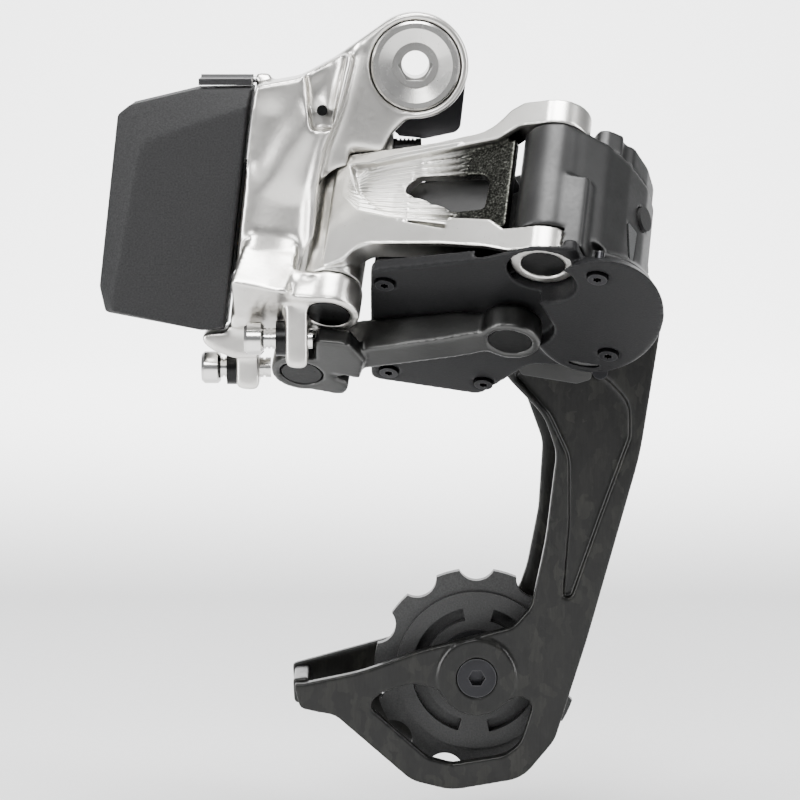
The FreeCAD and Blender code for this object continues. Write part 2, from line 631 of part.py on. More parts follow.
# ------------------------------------------------------------------ inner link

INNER_FACE = -4.0
INNER_BACK = 2.6


def inner_link():
    rear = pin_rod(PIN_B, 6.0, INNER_REAR_LOW, INNER_REAR_LOW + INNER_REAR_H)
    front = pin_rod(PIN_D, EYE_INNER_R, INNER_FRONT_LOW, INNER_TOP - 0.7)
    bar = link_elevation([(0, INNER_REAR_LOW, 0.5), (7.5, INNER_REAR_LOW + 0.3, 2), (12, -2.4, 6), (30, -1.6, 8),
                          (37, INNER_FRONT_LOW, 2), (DRAWN_LINK, INNER_FRONT_LOW), (DRAWN_LINK, INNER_TOP - 0.7),
                          (36, INNER_TOP - 0.7, 1), (33.5, INNER_TOP, 1), (12, INNER_TOP, 2), (8.5, 4.0, 2),
                          (6.4, 1.5, 1), (0, 1.5)], INNER_FACE, INNER_BACK, 0, PIN_B)
    heel = pin_prism([(-9.5, 20.5, 2), (-2, 22.3, 2), (3.6, 23.2, 2.2), (4.4, 18.5, 2), (0, 16)],
                     INNER_REAR_LOW, INNER_REAR_LOW + INNER_REAR_H)
    stop = pin_prism([(-2.2, 3.4, 1), (-2.2, 14), (6.5, 16), (7.5, 9.4, 2), (4.4, 3.6, 1)],
                     INNER_REAR_LOW, -0.4)
    link = fuse(rear, front, bar, heel, stop)
    return cut(link,
               pin_rod(PIN_B, PIN_INNER_R + BUSH_WALL + SEAT_GAP, INNER_REAR_LOW + 1.2, 3),
               pin_rod(PIN_B, PIN_INNER_R + 0.3, INNER_REAR_LOW - 1, 3),
               pin_rod(PIN_D, PIN_R + SEAT_GAP, INNER_FRONT_LOW - 1, INNER_TOP + 1))


def inner_link_bush():
    return pivot_bush(PIN_B, PIN_INNER_R, INNER_REAR_LOW + 1.25, INNER_REAR_LOW + INNER_REAR_H - 0.05)


def link_pin_inner_front():
    big = pin_rod(PIN_D, PIN_R, INNER_FRONT_LOW + 0.3, INNER_TOP)
    spindle = pin_rod(PIN_D, SPINDLE_R, INNER_FRONT_LOW + 0.3, GEAR_LOW + GEAR_T + 4.5)
    return fuse(big, spindle)


# ------------------------------------------------------------------ drive housing

LEVEL_GEARBOX_TOP = 24.0
HOOD_TOP = 29.0             # top of the hood over the motor, behind the outer link's window
LEVEL_GEARS_TOP = 14.4
LEVEL_SPINDLE_TOP = 15.6
CAP_TOP = 40.0
C_NOTCH_R = EYE_R + 0.5
SECTOR_R = GEAR_MODULE * SECTOR_TEETH / 2
IDLER = polar(GEAR_MODULE * (SECTOR_TEETH + IDLER_SMALL_TEETH) / 2, IDLER_DIRECTION, FRONT_D)
MOTOR = polar(GEAR_MODULE * (IDLER_LARGE_TEETH + MOTOR_TEETH) / 2, MOTOR_DIRECTION, IDLER)
NOSE_SCREWS = [(50.5, -19.5, 7.9), (54.0, 7.5, 10.4)]      # place, and level of the screw's end
TONGUE_SCREWS = [(10.3, -4.8, 7.9), (11.0, 27.8, 13.4), (30.0, 28.5, 13.4)]
COVER_SCREWS = [(u, v, COVER_LOW, end) for u, v, end in NOSE_SCREWS]
COVER_SCREWS += [(u, v, TONGUE_LOW, end) for u, v, end in TONGUE_SCREWS]
BARREL_R = 11.1             # inner barrel of the cage pivot, which the cover's skirt surrounds
BARREL_FRONT = -18.4


def pin_level(low, high):
    """Large slab between two levels on the pin axis."""
    return pin_box((-40, 110), (-90, 90), (low, high))


def upper_outline():
    """Outline of the tall block that carries the outer front pin and the electronics."""
    return [(37.4, -20.6, 2), (41.0, -21.5, 3), (45.5, -19.0, 4), (50.3, -15.7, 5), (54.6, -9.8, 5),
            (58.4, -2.6, 6), (60.0, 4.5, 5), (59.0, 12.5, 4), (53, 18, 4), (42, 20, 3), (36.0, 14, 3),
            (34.6, -8, 2)]


def gearbox_outline():
    front = along_link([(8.2, -0.55, 1.0), (35.8, -0.55, 0.5)])
    return [front[0], front[1], (40, -21, 2), (47, -21, 1), (50, -10), (50, 18), (39, 19.5, 3), (34.5, 26, 3),
            (29.3, 33.5, 3), (7.3, 31.5, 2)]


def pivot_cylinder(radius, y_low, y_high):
    return rod_y(CAGE_AXIS, radius, y_low, y_high)


def outboard_space():
    """Everything outboard of the housing's flat face beside the cage."""
    return box((-60, 100), (-90, PIVOT_BACK), (-120, 60))


def front_eye_notch():
    """Room for the outer link's lower front eye and for its arm as it swings."""
    eye = pin_rod(FRONT_C, C_NOTCH_R, COVER_LOW - 1, HOUSING_LOW)
    arm = pin_prism([FRONT_C, polar(11, 135, FRONT_C), polar(13, 180, FRONT_C), polar(14, 215, FRONT_C),
                     polar(12, 250, FRONT_C), polar(7, 280, FRONT_C)], LINK_LOW - 0.4, HOUSING_LOW)
    return fuse(eye, arm)


def gear_space():
    sector = pin_rod(FRONT_D, SECTOR_R + GEAR_MODULE + 0.5, SPLIT_LEVEL - 0.1, GEAR_LOW + GEAR_T + 0.4)
    sector = sector.common(pin_prism([polar(0.2, 0, FRONT_D), polar(30, 52, FRONT_D), polar(40, 100, FRONT_D),
                                      polar(40, 180, FRONT_D), polar(30, 226, FRONT_D)], 0, 30))
    hub = pin_rod(FRONT_D, 5.2, SPLIT_LEVEL - 0.1, GEAR_LOW + GEAR_T + 0.4)
    idler = pin_rod(IDLER, GEAR_MODULE * (IDLER_LARGE_TEETH / 2 + 1) + 0.5, SPLIT_LEVEL - 0.1, LEVEL_GEARS_TOP)
    pinion = pin_rod(MOTOR, GEAR_MODULE * (MOTOR_TEETH / 2 + 1) + 0.5, SPLIT_LEVEL - 0.1, LEVEL_GEARS_TOP + 0.6)
    return sector.fuse(hub).fuse(idler).fuse(pinion)


def board_space(grow=0.0):
    return [(45.0 - grow, -12.5 - grow), (49.6 + grow, -12.2 - grow), (54.6 + grow, -4), (56.2 + grow, 2.5),
            (55.0 + grow, 6.5 + grow), (46.5, 7.0 + grow), (43.5 - grow, 2)]


def motor_housing():
    upper = pin_prism(upper_outline(), HOUSING_LOW, HOUSING_TOP)
    eye = pin_rod(FRONT_C, EYE_R + 0.2, HOUSING_LOW, HOUSING_TOP)
    gearbox = pin_prism(gearbox_outline(), SPLIT_LEVEL + 0.05, LEVEL_GEARBOX_TOP)
    tower = pin_rod(MOTOR, MOTOR_R + HOUSING_WALL, 14, 15.0 + MOTOR_H + 2)
    hood = pin_prism(along_link([(9.5, -0.55, 1.5), (34.5, -0.55, 1), (34.5, 8.0, 3), (9.5, 8.0, 3)]),
                     LEVEL_GEARBOX_TOP - 1, HOOD_TOP, 1)
    pivot = pivot_cylinder(PIVOT_R, -34, PIVOT_BACK).common(pin_level(SPLIT_LEVEL + 0.05, 60))
    barrel = pivot_cylinder(BARREL_R, BARREL_FRONT, PIVOT_BACK)
    screws = [pin_rod((u, v), 0.9 + SEAT_GAP, 0, end + 0.1) for u, v, low, end in COVER_SCREWS]
    return cut(fuse(upper, eye, gearbox, tower, hood, pivot, barrel).common(outboard_space()),
               front_eye_notch(), gear_space(),
               pin_rod(FRONT_D, SPINDLE_R + OPEN_PIVOT_GAP, 5, LEVEL_SPINDLE_TOP + 0.3),
               pin_rod(IDLER, 1.2 + SEAT_GAP, 8, 17),
               pin_rod(MOTOR, MOTOR_R + 0.1, 15.0, 15.0 + MOTOR_H + 0.3),
               pin_rod(MOTOR, 2.4, 12, 16),
               pin_prism(board_space(), 25.5, HOUSING_TOP + 1, 1.5),
               pin_rod(FRONT_C, PIN_R + BUSH_WALL + SEAT_GAP, HOUSING_LOW - 1, HOUSING_LOW + 7),
               pin_rod(FRONT_C, PIN_R + BUSH_WALL + SEAT_GAP, HOUSING_TOP - 7, HOUSING_TOP + 1),
               pin_rod(FRONT_C, PIN_R + 0.4, HOUSING_LOW - 1, HOUSING_TOP + 1),
               pivot_cylinder(CAVITY_R, CAVITY_FRONT, PIVOT_BACK + 1),
               pivot_cylinder(AXLE_R + BUSH_WALL + SEAT_GAP, CAVITY_FRONT - 2.6, CAVITY_FRONT + 1),
               button_rod(BUTTON_R + 0.08, -3.2, 1), light_prism(0.02), *screws)


def motor_cap():
    cap = pin_prism([(46.9, -11.3, 1), (47.6, -13.3, 1), (49.6, -13.9, 1.5), (52.4, -12.4, 2), (55.2, -8.2, 4),
                     (58.0, -2.3, 5), (59.6, 4.5, 5), (58.6, 12.2, 4), (52.5, 16.5, 4), (45.5, 15.5, 3),
                     (43.0, 4, 5)],
                    HOUSING_TOP + 0.05, CAP_TOP)
    flute = pin_rod((55.2, -11.4), 2.6, HOUSING_TOP, CAP_TOP + 1)
    cap = cap.cut(flute).cut(pin_prism(board_space(-1.0), HOUSING_TOP, CAP_TOP - 2))
    return cap.common(outboard_space())


def gearbox_cover():
    under = along_link([(10.2, -5.8, 2.0), (33, -5.8)])
    plate = pin_prism([under[0], under[1], (38, -22.5, 1), (46, -23.5, 1), (50, -10), (50, 18), (39, 19.5, 3),
                       (34.5, 26, 3), (29.3, 33.5, 3), (7.3, 31.5, 2)], TONGUE_LOW, SPLIT_LEVEL)
    nose = pivot_cylinder(PIVOT_R, -60, 0).common(pin_level(COVER_LOW, SPLIT_LEVEL))
    recess = fuse(pin_rod(FRONT_D, EYE_INNER_R + 2.2, 0, TONGUE_LOW),
                  pin_prism([polar(EYE_INNER_R + 2.2, 90, FRONT_D), (10, 30), (10, -40), (28, -40),
                             polar(EYE_INNER_R + 2.2, -30, FRONT_D)], 0, TONGUE_LOW))
    link_relief = pin_prism([(38.8, -20.4), (43.4, -20.4), (43.4, -25), (38.8, -25)],
                            LINK_LOW - 0.3, SPLIT_LEVEL + 1)
    cover = cut(fuse(plate, nose), recess, front_eye_notch(), link_relief,
                pivot_cylinder(BARREL_R + 0.1, BARREL_FRONT - 0.1, 10),
                pin_rod(FRONT_D, SPINDLE_R + OPEN_PIVOT_GAP, 4, 9),
                pin_rod(IDLER, 1.2 + SEAT_GAP, SPLIT_LEVEL - 1.2, 9))
    for u, v, low, end in COVER_SCREWS:
        cover = cut(cover, pin_rod((u, v), 0.9 + SEAT_GAP, 0, end + 0.1), pin_rod((u, v), 1.95, 0, low + 1.0))
    return cover


def cover_screws():
    screws = []
    for u, v, low, end in COVER_SCREWS:
        head = pin_rod((u, v), 1.85, low - 0.5, low + 0.98)
        star = pin_prism([polar(0.95 if i % 2 else 0.62, 30 * i, (u, v)) for i in range(12)], low - 1, low + 0.3)
        screws.append(fuse(head, pin_rod((u, v), 0.9, low, end)).cut(star))
    return Part.makeCompound(screws)


def drive_motor():
    can = pin_rod(MOTOR, MOTOR_R, 15.05, 15.0 + MOTOR_H)
    return can.cut(pin_rod(MOTOR, MOTOR_SHAFT_R + RUNNING_FIT, 14, 17.3))


def idler_pin():
    return pin_rod(IDLER, 1.2, SPLIT_LEVEL - 1.1, 16.8)


def circuit_board():
    board = pin_prism(board_space(-0.9), 30.0, 31.2, 1.5)
    corners = ((46.2, -8.0), (50.6, -2.0), (47.4, 2.4))
    chips = [pin_box((u, u + 3.2), (v, v + 3.2), (31.1, 32.0)) for u, v in corners]
    return fuse(board, *chips)


BUTTON_R = 2.4
BUTTON_PLACE = (58.0, -3.4, 27.0)     # on the forward side of the housing
BUTTON_TURN = -29.0
LIGHT_PLACE = (56.0, -7.2)
LIGHT_TURN = -28.0


def button_rod(radius, start, end):
    """Rod square to the housing's forward side, between two depths from its face."""
    a = math.radians(BUTTON_TURN)
    direction = FreeCAD.Vector(math.cos(a), math.sin(a), 0)
    place = FreeCAD.Vector(*BUTTON_PLACE) + direction * start
    return in_pin_frame(Part.makeCylinder(radius, end - start, place, direction))


def function_button():
    return fuse(button_rod(BUTTON_R, -0.9, 0.55), button_rod(1.6, -2.2, -0.8))


def light_prism(grow=0.0):
    """Three-sided lens set into the outboard side of the housing."""
    points = [(-2.0 - grow, 4.4 + grow, 0.4), (2.0 + grow, 4.4 + grow, 0.4), (1.2, -6.0 - grow, 0.4)]
    solid = Part.Face(outline(points))
    solid = solid.extrude(FreeCAD.Vector(0, 0, 1.4))
    solid.rotate(ORIGIN, X_AXIS, 90)
    solid.rotate(ORIGIN, Z_AXIS, 90 + LIGHT_TURN)
    a = math.radians(LIGHT_TURN)
    depth = 1.3
    solid.translate(FreeCAD.Vector(LIGHT_PLACE[0] - depth * math.cos(a),
                                   LIGHT_PLACE[1] - depth * math.sin(a), 18.0))
    return in_pin_frame(solid)


def motor_housing_bushes():
    return Part.makeCompound([pivot_bush(FRONT_C, PIN_R, HOUSING_LOW + 0.05, HOUSING_LOW + 7),
                              pivot_bush(FRONT_C, PIN_R, HOUSING_TOP - 7, HOUSING_TOP - 0.05)])


# ------------------------------------------------------------------ gears

def gear_blank(teeth, first=0, count=None, turn=0.0):
    """Outline of a spur gear with involute flanks; teeth outside the given run are left out."""
    pitch = GEAR_MODULE * teeth / 2
    tip = pitch + GEAR_MODULE
    root = pitch - 1.2 * GEAR_MODULE
    base = pitch * math.cos(math.radians(20))
    involute = math.tan(math.radians(20)) - math.radians(20)
    half = math.pi / (2 * teeth) - BACKLASH / (2 * pitch)
    points = []
    for i in range(count if count else teeth):
        middle = math.radians(turn) + 2 * math.pi * (first + i) / teeth
        flank = []
        for k in range(5):
            radius = max(base, root) + (tip - max(base, root)) * k / 4
            press = math.acos(min(1.0, base / radius))
            offset = half + involute - (math.tan(press) - press)
            flank.append((radius, offset))
        foot = flank[0][1]
        points.append((root, middle - foot))
        points += [(r, middle - o) for r, o in flank]
        points += [(r, middle + o) for r, o in reversed(flank)]
        points.append((root, middle + foot))
    return [(r * math.cos(a), r * math.sin(a)) for r, a in points]


def gear_solid(centre, teeth, low, high, turn, first=0, count=None):
    points = gear_blank(teeth, first, count, turn)
    if count:
        points.append((0.0, 0.0))
    shifted = [(x + centre[0], y + centre[1]) for x, y in points]
    return pin_prism(shifted, low, high)


SECTOR_COUNT = 8
SECTOR_FIRST = -6
SECTOR_TURN = IDLER_DIRECTION


def sector_gear():
    teeth = gear_solid(PIN_D, SECTOR_TEETH, GEAR_LOW, GEAR_LOW + GEAR_T, SECTOR_TURN, SECTOR_FIRST, SECTOR_COUNT)
    hub = pin_rod(PIN_D, 4.8, GEAR_LOW, GEAR_LOW + GEAR_T)
    return fuse(teeth, hub).cut(pin_rod(PIN_D, SPINDLE_R + SEAT_GAP, 0, 20))


def idler_gear():
    gap_turn = IDLER_DIRECTION + 180 + 180.0 / IDLER_SMALL_TEETH
    small = gear_solid(IDLER, IDLER_SMALL_TEETH, GEAR_LOW, GEAR_LOW + GEAR_T + 0.4, gap_turn)
    large = gear_solid(IDLER, IDLER_LARGE_TEETH, GEAR_LOW + GEAR_T + 0.4, LEVEL_GEARS_TOP - 0.4, MOTOR_DIRECTION)
    return fuse(small, large).cut(pin_rod(IDLER, 1.2 + RUNNING_FIT, 0, 20))


def motor_pinion():
    gap_turn = MOTOR_DIRECTION + 180 + 180.0 / MOTOR_TEETH
    gear = gear_solid(MOTOR, MOTOR_TEETH, GEAR_LOW + GEAR_T + 0.6, LEVEL_GEARS_TOP, gap_turn)
    return fuse(gear, pin_rod(MOTOR, MOTOR_SHAFT_R, LEVEL_GEARS_TOP - 1, 17.0))


# ------------------------------------------------------------------ cage

CAGE_WINDOW = [(-9.6, -130.4, 2), (-7.0, -127.8, 3), (-0.3, -125.6, 6), (4.4, -127.0, 4), (8.2, -130.6, 4),
               (12.6, -132.4, 5), (17.0, -130.6, 4), (21.5, -128.2, 3), (24.2, -130.0, 2), (21.6, -138.4, 5),
               (18.4, -140.8, 5), (7.6, -142.6, 4), (2.6, -141.2, 4)]
SCOOP = [(19.5, -62.0, 1), (28.5, -59.6, 4), (38.5, -63.0, 6), (43.2, -68.0, 6), (43.4, -75.0, 6),
         (38.0, -90.0, 10), (31.8, -108.0, 3), (30.0, -108.0, 2), (31.2, -92.0, 20), (31.0, -79.0, 8),
         (27.0, -70.5, 6)]


def outer_plate_outline():
    return [(10.5, -43, 8), (16, -31.5, 8), (30, -29.5, 10), (43.5, -35.5, 8), (49.9, -48.9, 3), (45.4, -78.7, 60),
            (35.0, -116.7, 90), (28.6, -137.6, 8), (22.0, -145.6, 8), (7.5, -148.1, 10), (-0.6, -146.1, 8),
            (-16.3, -132.3, 5), (-19.6, -131.8, 2), (-23.4, -130.9, 1.5), (-24.7, -125.7, 0.6), (-23.0, -125.9, 1),
            (-11.1, -123.4, 40), (1.3, -118.9, 40), (19.9, -114.1, 4), (23.6, -110.0, 4), (26.5, -96.1, 60),
            (28.6, -78.2, 8), (26.0, -70.7, 12), (18.2, -62.6, 10)]


def inner_plate_outline():
    return [(13, -43, 8), (19, -32.5, 8), (30, -31.0, 8), (38.5, -37, 8), (40.5, -48, 8), (38.5, -64, 20),
            (36.5, -82, 40), (32.5, -104, 60), (29.5, -120, 30), (26.5, -136, 8), (19.5, -142.5, 8), (8, -144, 10),
            (-1, -141.8, 8), (-13, -133.6, 6), (-25.0, -130.8, 1), (-25.3, -125.0, 0.6), (-8.8, -120.4, 20),
            (3, -117.2, 20), (17.5, -112.0, 5), (21.6, -109, 5), (23.3, -104, 20), (25.6, -92, 20),
            (26.4, -78, 8), (22, -66, 8), (14, -56, 8)]


def outer_cage_plate():
    plate = side_prism(outer_plate_outline(), OUTER_PLATE_Y, OUTER_PLATE_END)
    plate = plate.cut(side_prism(CAGE_WINDOW, OUTER_PLATE_Y - 1, OUTER_PLATE_END + 1))
    plate = plate.cut(side_prism(SCOOP, OUTER_PLATE_Y - 1, OUTER_PLATE_Y + SCOOP_DEPTH))
    ring_low = rod_y(LOWER_PULLEY, 7.9, LOWER_BOLT_FACE, OUTER_PLATE_END)
    plate = fuse(plate, ring_low)
    for centre, face in ((UPPER_PULLEY, OUTER_PLATE_Y), (LOWER_PULLEY, LOWER_BOLT_FACE)):
        plate = cut(plate, rod_y(centre, BOLT_CAP_R + SEAT_GAP, face - 1, face + BOLT_CAP_T),
                    rod_y(centre, PULLEY_BOLT_R + SEAT_GAP, 0, 10))
    return cut(plate, rod_y(CAGE_AXIS, AXLE_R + SEAT_GAP, 0, 10), rod_y(STOP_PIN, STOP_PIN_R + SEAT_GAP, 0, 10))


def inner_cage_plate():
    plate = side_prism(inner_plate_outline(), INNER_PLATE_Y, INNER_PLATE_Y + INNER_PLATE_T)
    plate = plate.cut(side_prism([(x + 0.4, z + 1.2, r) for x, z, r in CAGE_WINDOW], 10, 25))
    for centre in (UPPER_PULLEY, LOWER_PULLEY):
        plate = plate.cut(rod_y(centre, PULLEY_BOLT_R + SEAT_GAP, 10, 25))
    return plate


def cage_bridge():
    low = OUTER_PLATE_END + SEAT_GAP
    high = INNER_PLATE_Y - SEAT_GAP
    block = side_prism([(-24.6, -130.6, 1), (-24.9, -125.4, 0.6), (-21.6, -125.0, 0.6), (-21.4, -130.2, 1)],
                       low, high)
    return block


def cage_axle():
    axle = rod_y(CAGE_AXIS, AXLE_R, CAVITY_FRONT - 2.5, OUTER_PLATE_END)
    flange = rod_y(CAGE_AXIS, 6.4, PIVOT_BACK - 2.4, OUTER_PLATE_Y - 0.2)
    return fuse(axle, flange)


def cage_bush():
    low = CAVITY_FRONT - 2.5
    return ring(pivot_cylinder(AXLE_R + BUSH_WALL, low, CAVITY_FRONT - 0.1),
                pivot_cylinder(AXLE_R + RUNNING_FIT, low, CAVITY_FRONT - 0.1))


def cage_spring():
    """Torsion spring round the cage's axle."""
    pitch = 2 * SPRING_WIRE_R + 0.9
    helix = Part.makeHelix(pitch, pitch * SPRING_TURNS, SPRING_R)
    profile = Part.Wire([Part.makeCircle(SPRING_WIRE_R, FreeCAD.Vector(SPRING_R, 0, 0), Y_AXIS)])
    coil = Part.Wire(helix).makePipeShell([profile], True, True)
    solid = Part.Solid(coil) if coil.ShapeType != "Solid" else coil
    solid.rotate(ORIGIN, X_AXIS, -90)
    solid.translate(FreeCAD.Vector(CAGE_AXIS[0], CAVITY_FRONT + 2.2, CAGE_AXIS[1]))
    return solid


def cage_seal():
    return ring(pivot_cylinder(CAVITY_R - SEAT_GAP, PIVOT_BACK - 2.0, PIVOT_BACK - 0.2),
                pivot_cylinder(6.4 + 0.1, PIVOT_BACK - 2.0, PIVOT_BACK - 0.2))


def cage_stop_bracket():
    bar = side_prism([(20.5, -61.0, 1.2), (20.9, -58.0, 1.0), (30, -57.0), (34.9, -58.0), (34.9, -62.0, 1.0),
                      (32.0, -62.9, 2)], -6.2, PIVOT_BACK - 0.1)
    return bar.cut(pivot_cylinder(PIVOT_R + SEAT_GAP, -20, 5)).cut(box((26.0, 29.6), (-4.6, -0.6), (-70, -50)))


def cage_stop_pin():
    return rod_y(STOP_PIN, STOP_PIN_R, -1.5, OUTER_PLATE_END)


def pulley(centre):
    blank = ring(rod_y(centre, PULLEY_TIP_R, PULLEY_Y - PULLEY_T / 2, PULLEY_Y + PULLEY_T / 2),
                 rod_y(centre, BEARING_R + SEAT_GAP, 0, 25))
    web = ring(rod_y(centre, 16.4, PULLEY_Y - 2.0, PULLEY_Y + 2.0), rod_y(centre, BEARING_R + SEAT_GAP, 0, 25))
    wheel = fuse(blank, web)
    pitch_r = CHAIN_PITCH / (2 * math.sin(math.pi / PULLEY_TEETH))
    for i in range(PULLEY_TEETH):
        seat = polar(pitch_r, 360.0 * (i + 0.5) / PULLEY_TEETH + PULLEY_TURN, centre)
        wheel = wheel.cut(rod_y(seat, ROLLER_R + 0.1, 5, 20))
    for i in range(4):
        wheel = wheel.cut(arc_slot(centre, 10.6, 13.2, 90.0 * i + 12, 90.0 * i + 74))
    return wheel


def arc_slot(centre, inner, outer, start, end):
    sector = ring(rod_y(centre, outer, 0, 25), rod_y(centre, inner, 0, 25))
    wedge = [centre] + [polar(25, start + (end - start) * k / 4, centre) for k in range(5)]
    return sector.common(side_prism(wedge, 0, 25))


def pulley_bearing(centre):
    return ring(rod_y(centre, BEARING_R, PULLEY_Y - 2.5, PULLEY_Y + 2.5),
                rod_y(centre, SLEEVE_R + RUNNING_FIT, PULLEY_Y - 3, PULLEY_Y + 3))


def pulley_covers(centre):
    covers = []
    for side in (-1, 1):
        low = min(PULLEY_Y + side * 2.52, PULLEY_Y + side * 3.4)
        covers.append(ring(rod_y(centre, BEARING_R + 1.6, low, low + 0.88), rod_y(centre, SLEEVE_R + 0.08, 0, 25)))
    return Part.makeCompound(covers)


def pulley_sleeve(centre):
    return ring(rod_y(centre, SLEEVE_R, OUTER_PLATE_END + SEAT_GAP, INNER_PLATE_Y - SEAT_GAP),
                rod_y(centre, PULLEY_BOLT_R + SEAT_GAP, 0, 25))


def pulley_bolt(centre, face):
    cap = rod_y(centre, BOLT_CAP_R, face - 0.1, face + BOLT_CAP_T - 0.02)
    bolt = fuse(cap, rod_y(centre, PULLEY_BOLT_R, face, INNER_PLATE_Y + INNER_PLATE_T + 0.3))
    return bolt.cut(hex_socket_y(centre, 3.0, face - 1, face + 2.2))


def cage_bolts():
    return Part.makeCompound([pulley_bolt(UPPER_PULLEY, OUTER_PLATE_Y),
                              pulley_bolt(LOWER_PULLEY, LOWER_BOLT_FACE)])


def adjust_screw():
    y, z = ADJUST_SCREW
    return threaded_x(y, z, -7.9, 1.2, (-9, -4.2)).cut(hex_socket_x(y, z, 2.0, -8, -6.4))


# pieces that the links' front pins carry, besides the cage and its pulleys
DRIVE_SIDE = ("motor_housing", "motor_housing_bushes", "motor_cap", "gearbox_cover", "cover_screws",
              "drive_motor", "motor_pinion", "idler_gear", "idler_pin", "circuit_board", "status_light",
              "function_button")


def main():
    os.makedirs("parts", exist_ok=True)
    pieces = {
        "mounting_bolt": mounting_bolt(),
        "hanger_stop_plate": hanger_stop_plate(),
        "mounting_bolt_clip": mounting_bolt_clip(),
        "b_knuckle": b_knuckle(),
        "b_knuckle_bush": b_knuckle_bush(),
        "locating_pin": locating_pin(),
        "link_pin_outer_rear": link_pin_outer_rear(),
        "link_pin_inner_rear": link_pin_inner_rear(),
        "limit_screw_low": limit_screw(*LOW_SCREW, TAB_LOW_X, -42.1, -28.4),
        "limit_screw_high": limit_screw(*HIGH_SCREW, TAB_HIGH_X, -32.9, -19.8),
        "limit_screw_collars": Part.makeCompound([screw_collar(*LOW_SCREW, TAB_LOW_X[0]),
                                                  screw_collar(*HIGH_SCREW, TAB_HIGH_X[0])]),
        "b_adjust_screw": adjust_screw(),
        "battery_case": battery_case(),
        "battery_lid": battery_lid(),
        "battery_cell": battery_cell(),
        "contact_block": contact_block(),
        "contact_pins": contact_pins(),
        "battery_seal": battery_seal(),
        "battery_latch": battery_latch(),
        "battery_latch_pin": battery_latch_pin(),
        "outer_link": outer_link(),
        "outer_link_bushes": outer_link_bushes(),
        "link_pin_outer_front": link_pin_outer_front(),
        "inner_link": inner_link(),
        "inner_link_bush": inner_link_bush(),
        "link_pin_inner_front": link_pin_inner_front(),
        "sector_gear": sector_gear(),
        "motor_housing": motor_housing(),
        "motor_housing_bushes": motor_housing_bushes(),
        "motor_cap": motor_cap(),
        "gearbox_cover": gearbox_cover(),
        "cover_screws": cover_screws(),
        "drive_motor": drive_motor(),
        "motor_pinion": motor_pinion(),
        "idler_gear": idler_gear(),
        "idler_pin": idler_pin(),
        "circuit_board": circuit_board(),
        "status_light": light_prism(),
        "function_button": function_button(),
        "cage_bush": cage_bush(),
        "cage_spring": cage_spring(),
        "cage_seal": cage_seal(),
        "cage_stop_bracket": cage_stop_bracket(),
        "cage_axle": cage_axle(),
        "cage_stop_pin": cage_stop_pin(),
        "outer_cage_plate": outer_cage_plate(),
        "inner_cage_plate": inner_cage_plate(),
        "cage_bridge": cage_bridge(),
        "cage_bolts": cage_bolts(),
    }
    for name, centre in (("upper", UPPER_PULLEY), ("lower", LOWER_PULLEY)):
        pieces[name + "_pulley"] = pulley(centre)
        pieces[name + "_pulley_bearing"] = pulley_bearing(centre)
        pieces[name + "_pulley_covers"] = pulley_covers(centre)
        pieces[name + "_pulley_sleeve"] = pulley_sleeve(centre)
    move = PIN_FRAME.Rotation.multVec(FreeCAD.Vector(*FRONT_MOVE, 0))
    for name, shape in pieces.items():
        if name in DRIVE_SIDE or "pulley" in name or "cage" in name:
            shape.translate(move)
        save(name, shape)


main()
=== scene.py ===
import json
import math

import bpy
import numpy as np
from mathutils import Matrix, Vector

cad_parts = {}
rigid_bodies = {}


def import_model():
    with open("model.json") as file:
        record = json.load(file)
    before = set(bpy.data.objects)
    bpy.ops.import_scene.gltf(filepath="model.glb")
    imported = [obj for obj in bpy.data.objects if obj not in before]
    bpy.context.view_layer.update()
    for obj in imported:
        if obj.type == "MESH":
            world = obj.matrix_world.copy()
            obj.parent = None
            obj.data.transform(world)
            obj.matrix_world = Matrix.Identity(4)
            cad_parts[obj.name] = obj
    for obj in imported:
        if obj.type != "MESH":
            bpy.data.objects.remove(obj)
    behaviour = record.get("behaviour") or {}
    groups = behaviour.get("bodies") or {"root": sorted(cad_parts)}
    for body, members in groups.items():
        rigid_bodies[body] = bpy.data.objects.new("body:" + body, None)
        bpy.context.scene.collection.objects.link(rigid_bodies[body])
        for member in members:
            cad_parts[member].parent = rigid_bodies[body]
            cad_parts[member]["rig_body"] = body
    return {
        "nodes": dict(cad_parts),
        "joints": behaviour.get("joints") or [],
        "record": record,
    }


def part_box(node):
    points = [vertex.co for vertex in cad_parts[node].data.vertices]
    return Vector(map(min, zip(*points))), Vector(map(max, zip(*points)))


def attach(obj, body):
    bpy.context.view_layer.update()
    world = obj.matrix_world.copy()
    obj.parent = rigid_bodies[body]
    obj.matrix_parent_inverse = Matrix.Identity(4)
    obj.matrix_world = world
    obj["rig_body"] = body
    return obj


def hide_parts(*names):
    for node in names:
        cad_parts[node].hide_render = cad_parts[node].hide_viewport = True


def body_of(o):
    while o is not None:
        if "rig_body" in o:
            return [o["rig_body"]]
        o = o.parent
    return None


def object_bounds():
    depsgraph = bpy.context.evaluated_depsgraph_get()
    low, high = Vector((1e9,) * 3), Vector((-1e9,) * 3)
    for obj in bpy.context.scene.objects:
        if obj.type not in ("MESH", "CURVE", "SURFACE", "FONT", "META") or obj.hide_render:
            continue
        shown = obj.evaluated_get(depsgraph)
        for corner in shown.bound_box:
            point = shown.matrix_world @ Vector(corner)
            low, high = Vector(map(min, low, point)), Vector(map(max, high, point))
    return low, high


for leftover in list(bpy.data.objects):
    bpy.data.objects.remove(leftover)

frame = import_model()
SIZE_AT_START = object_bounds()
NODES = frame["nodes"]
MM = 0.001

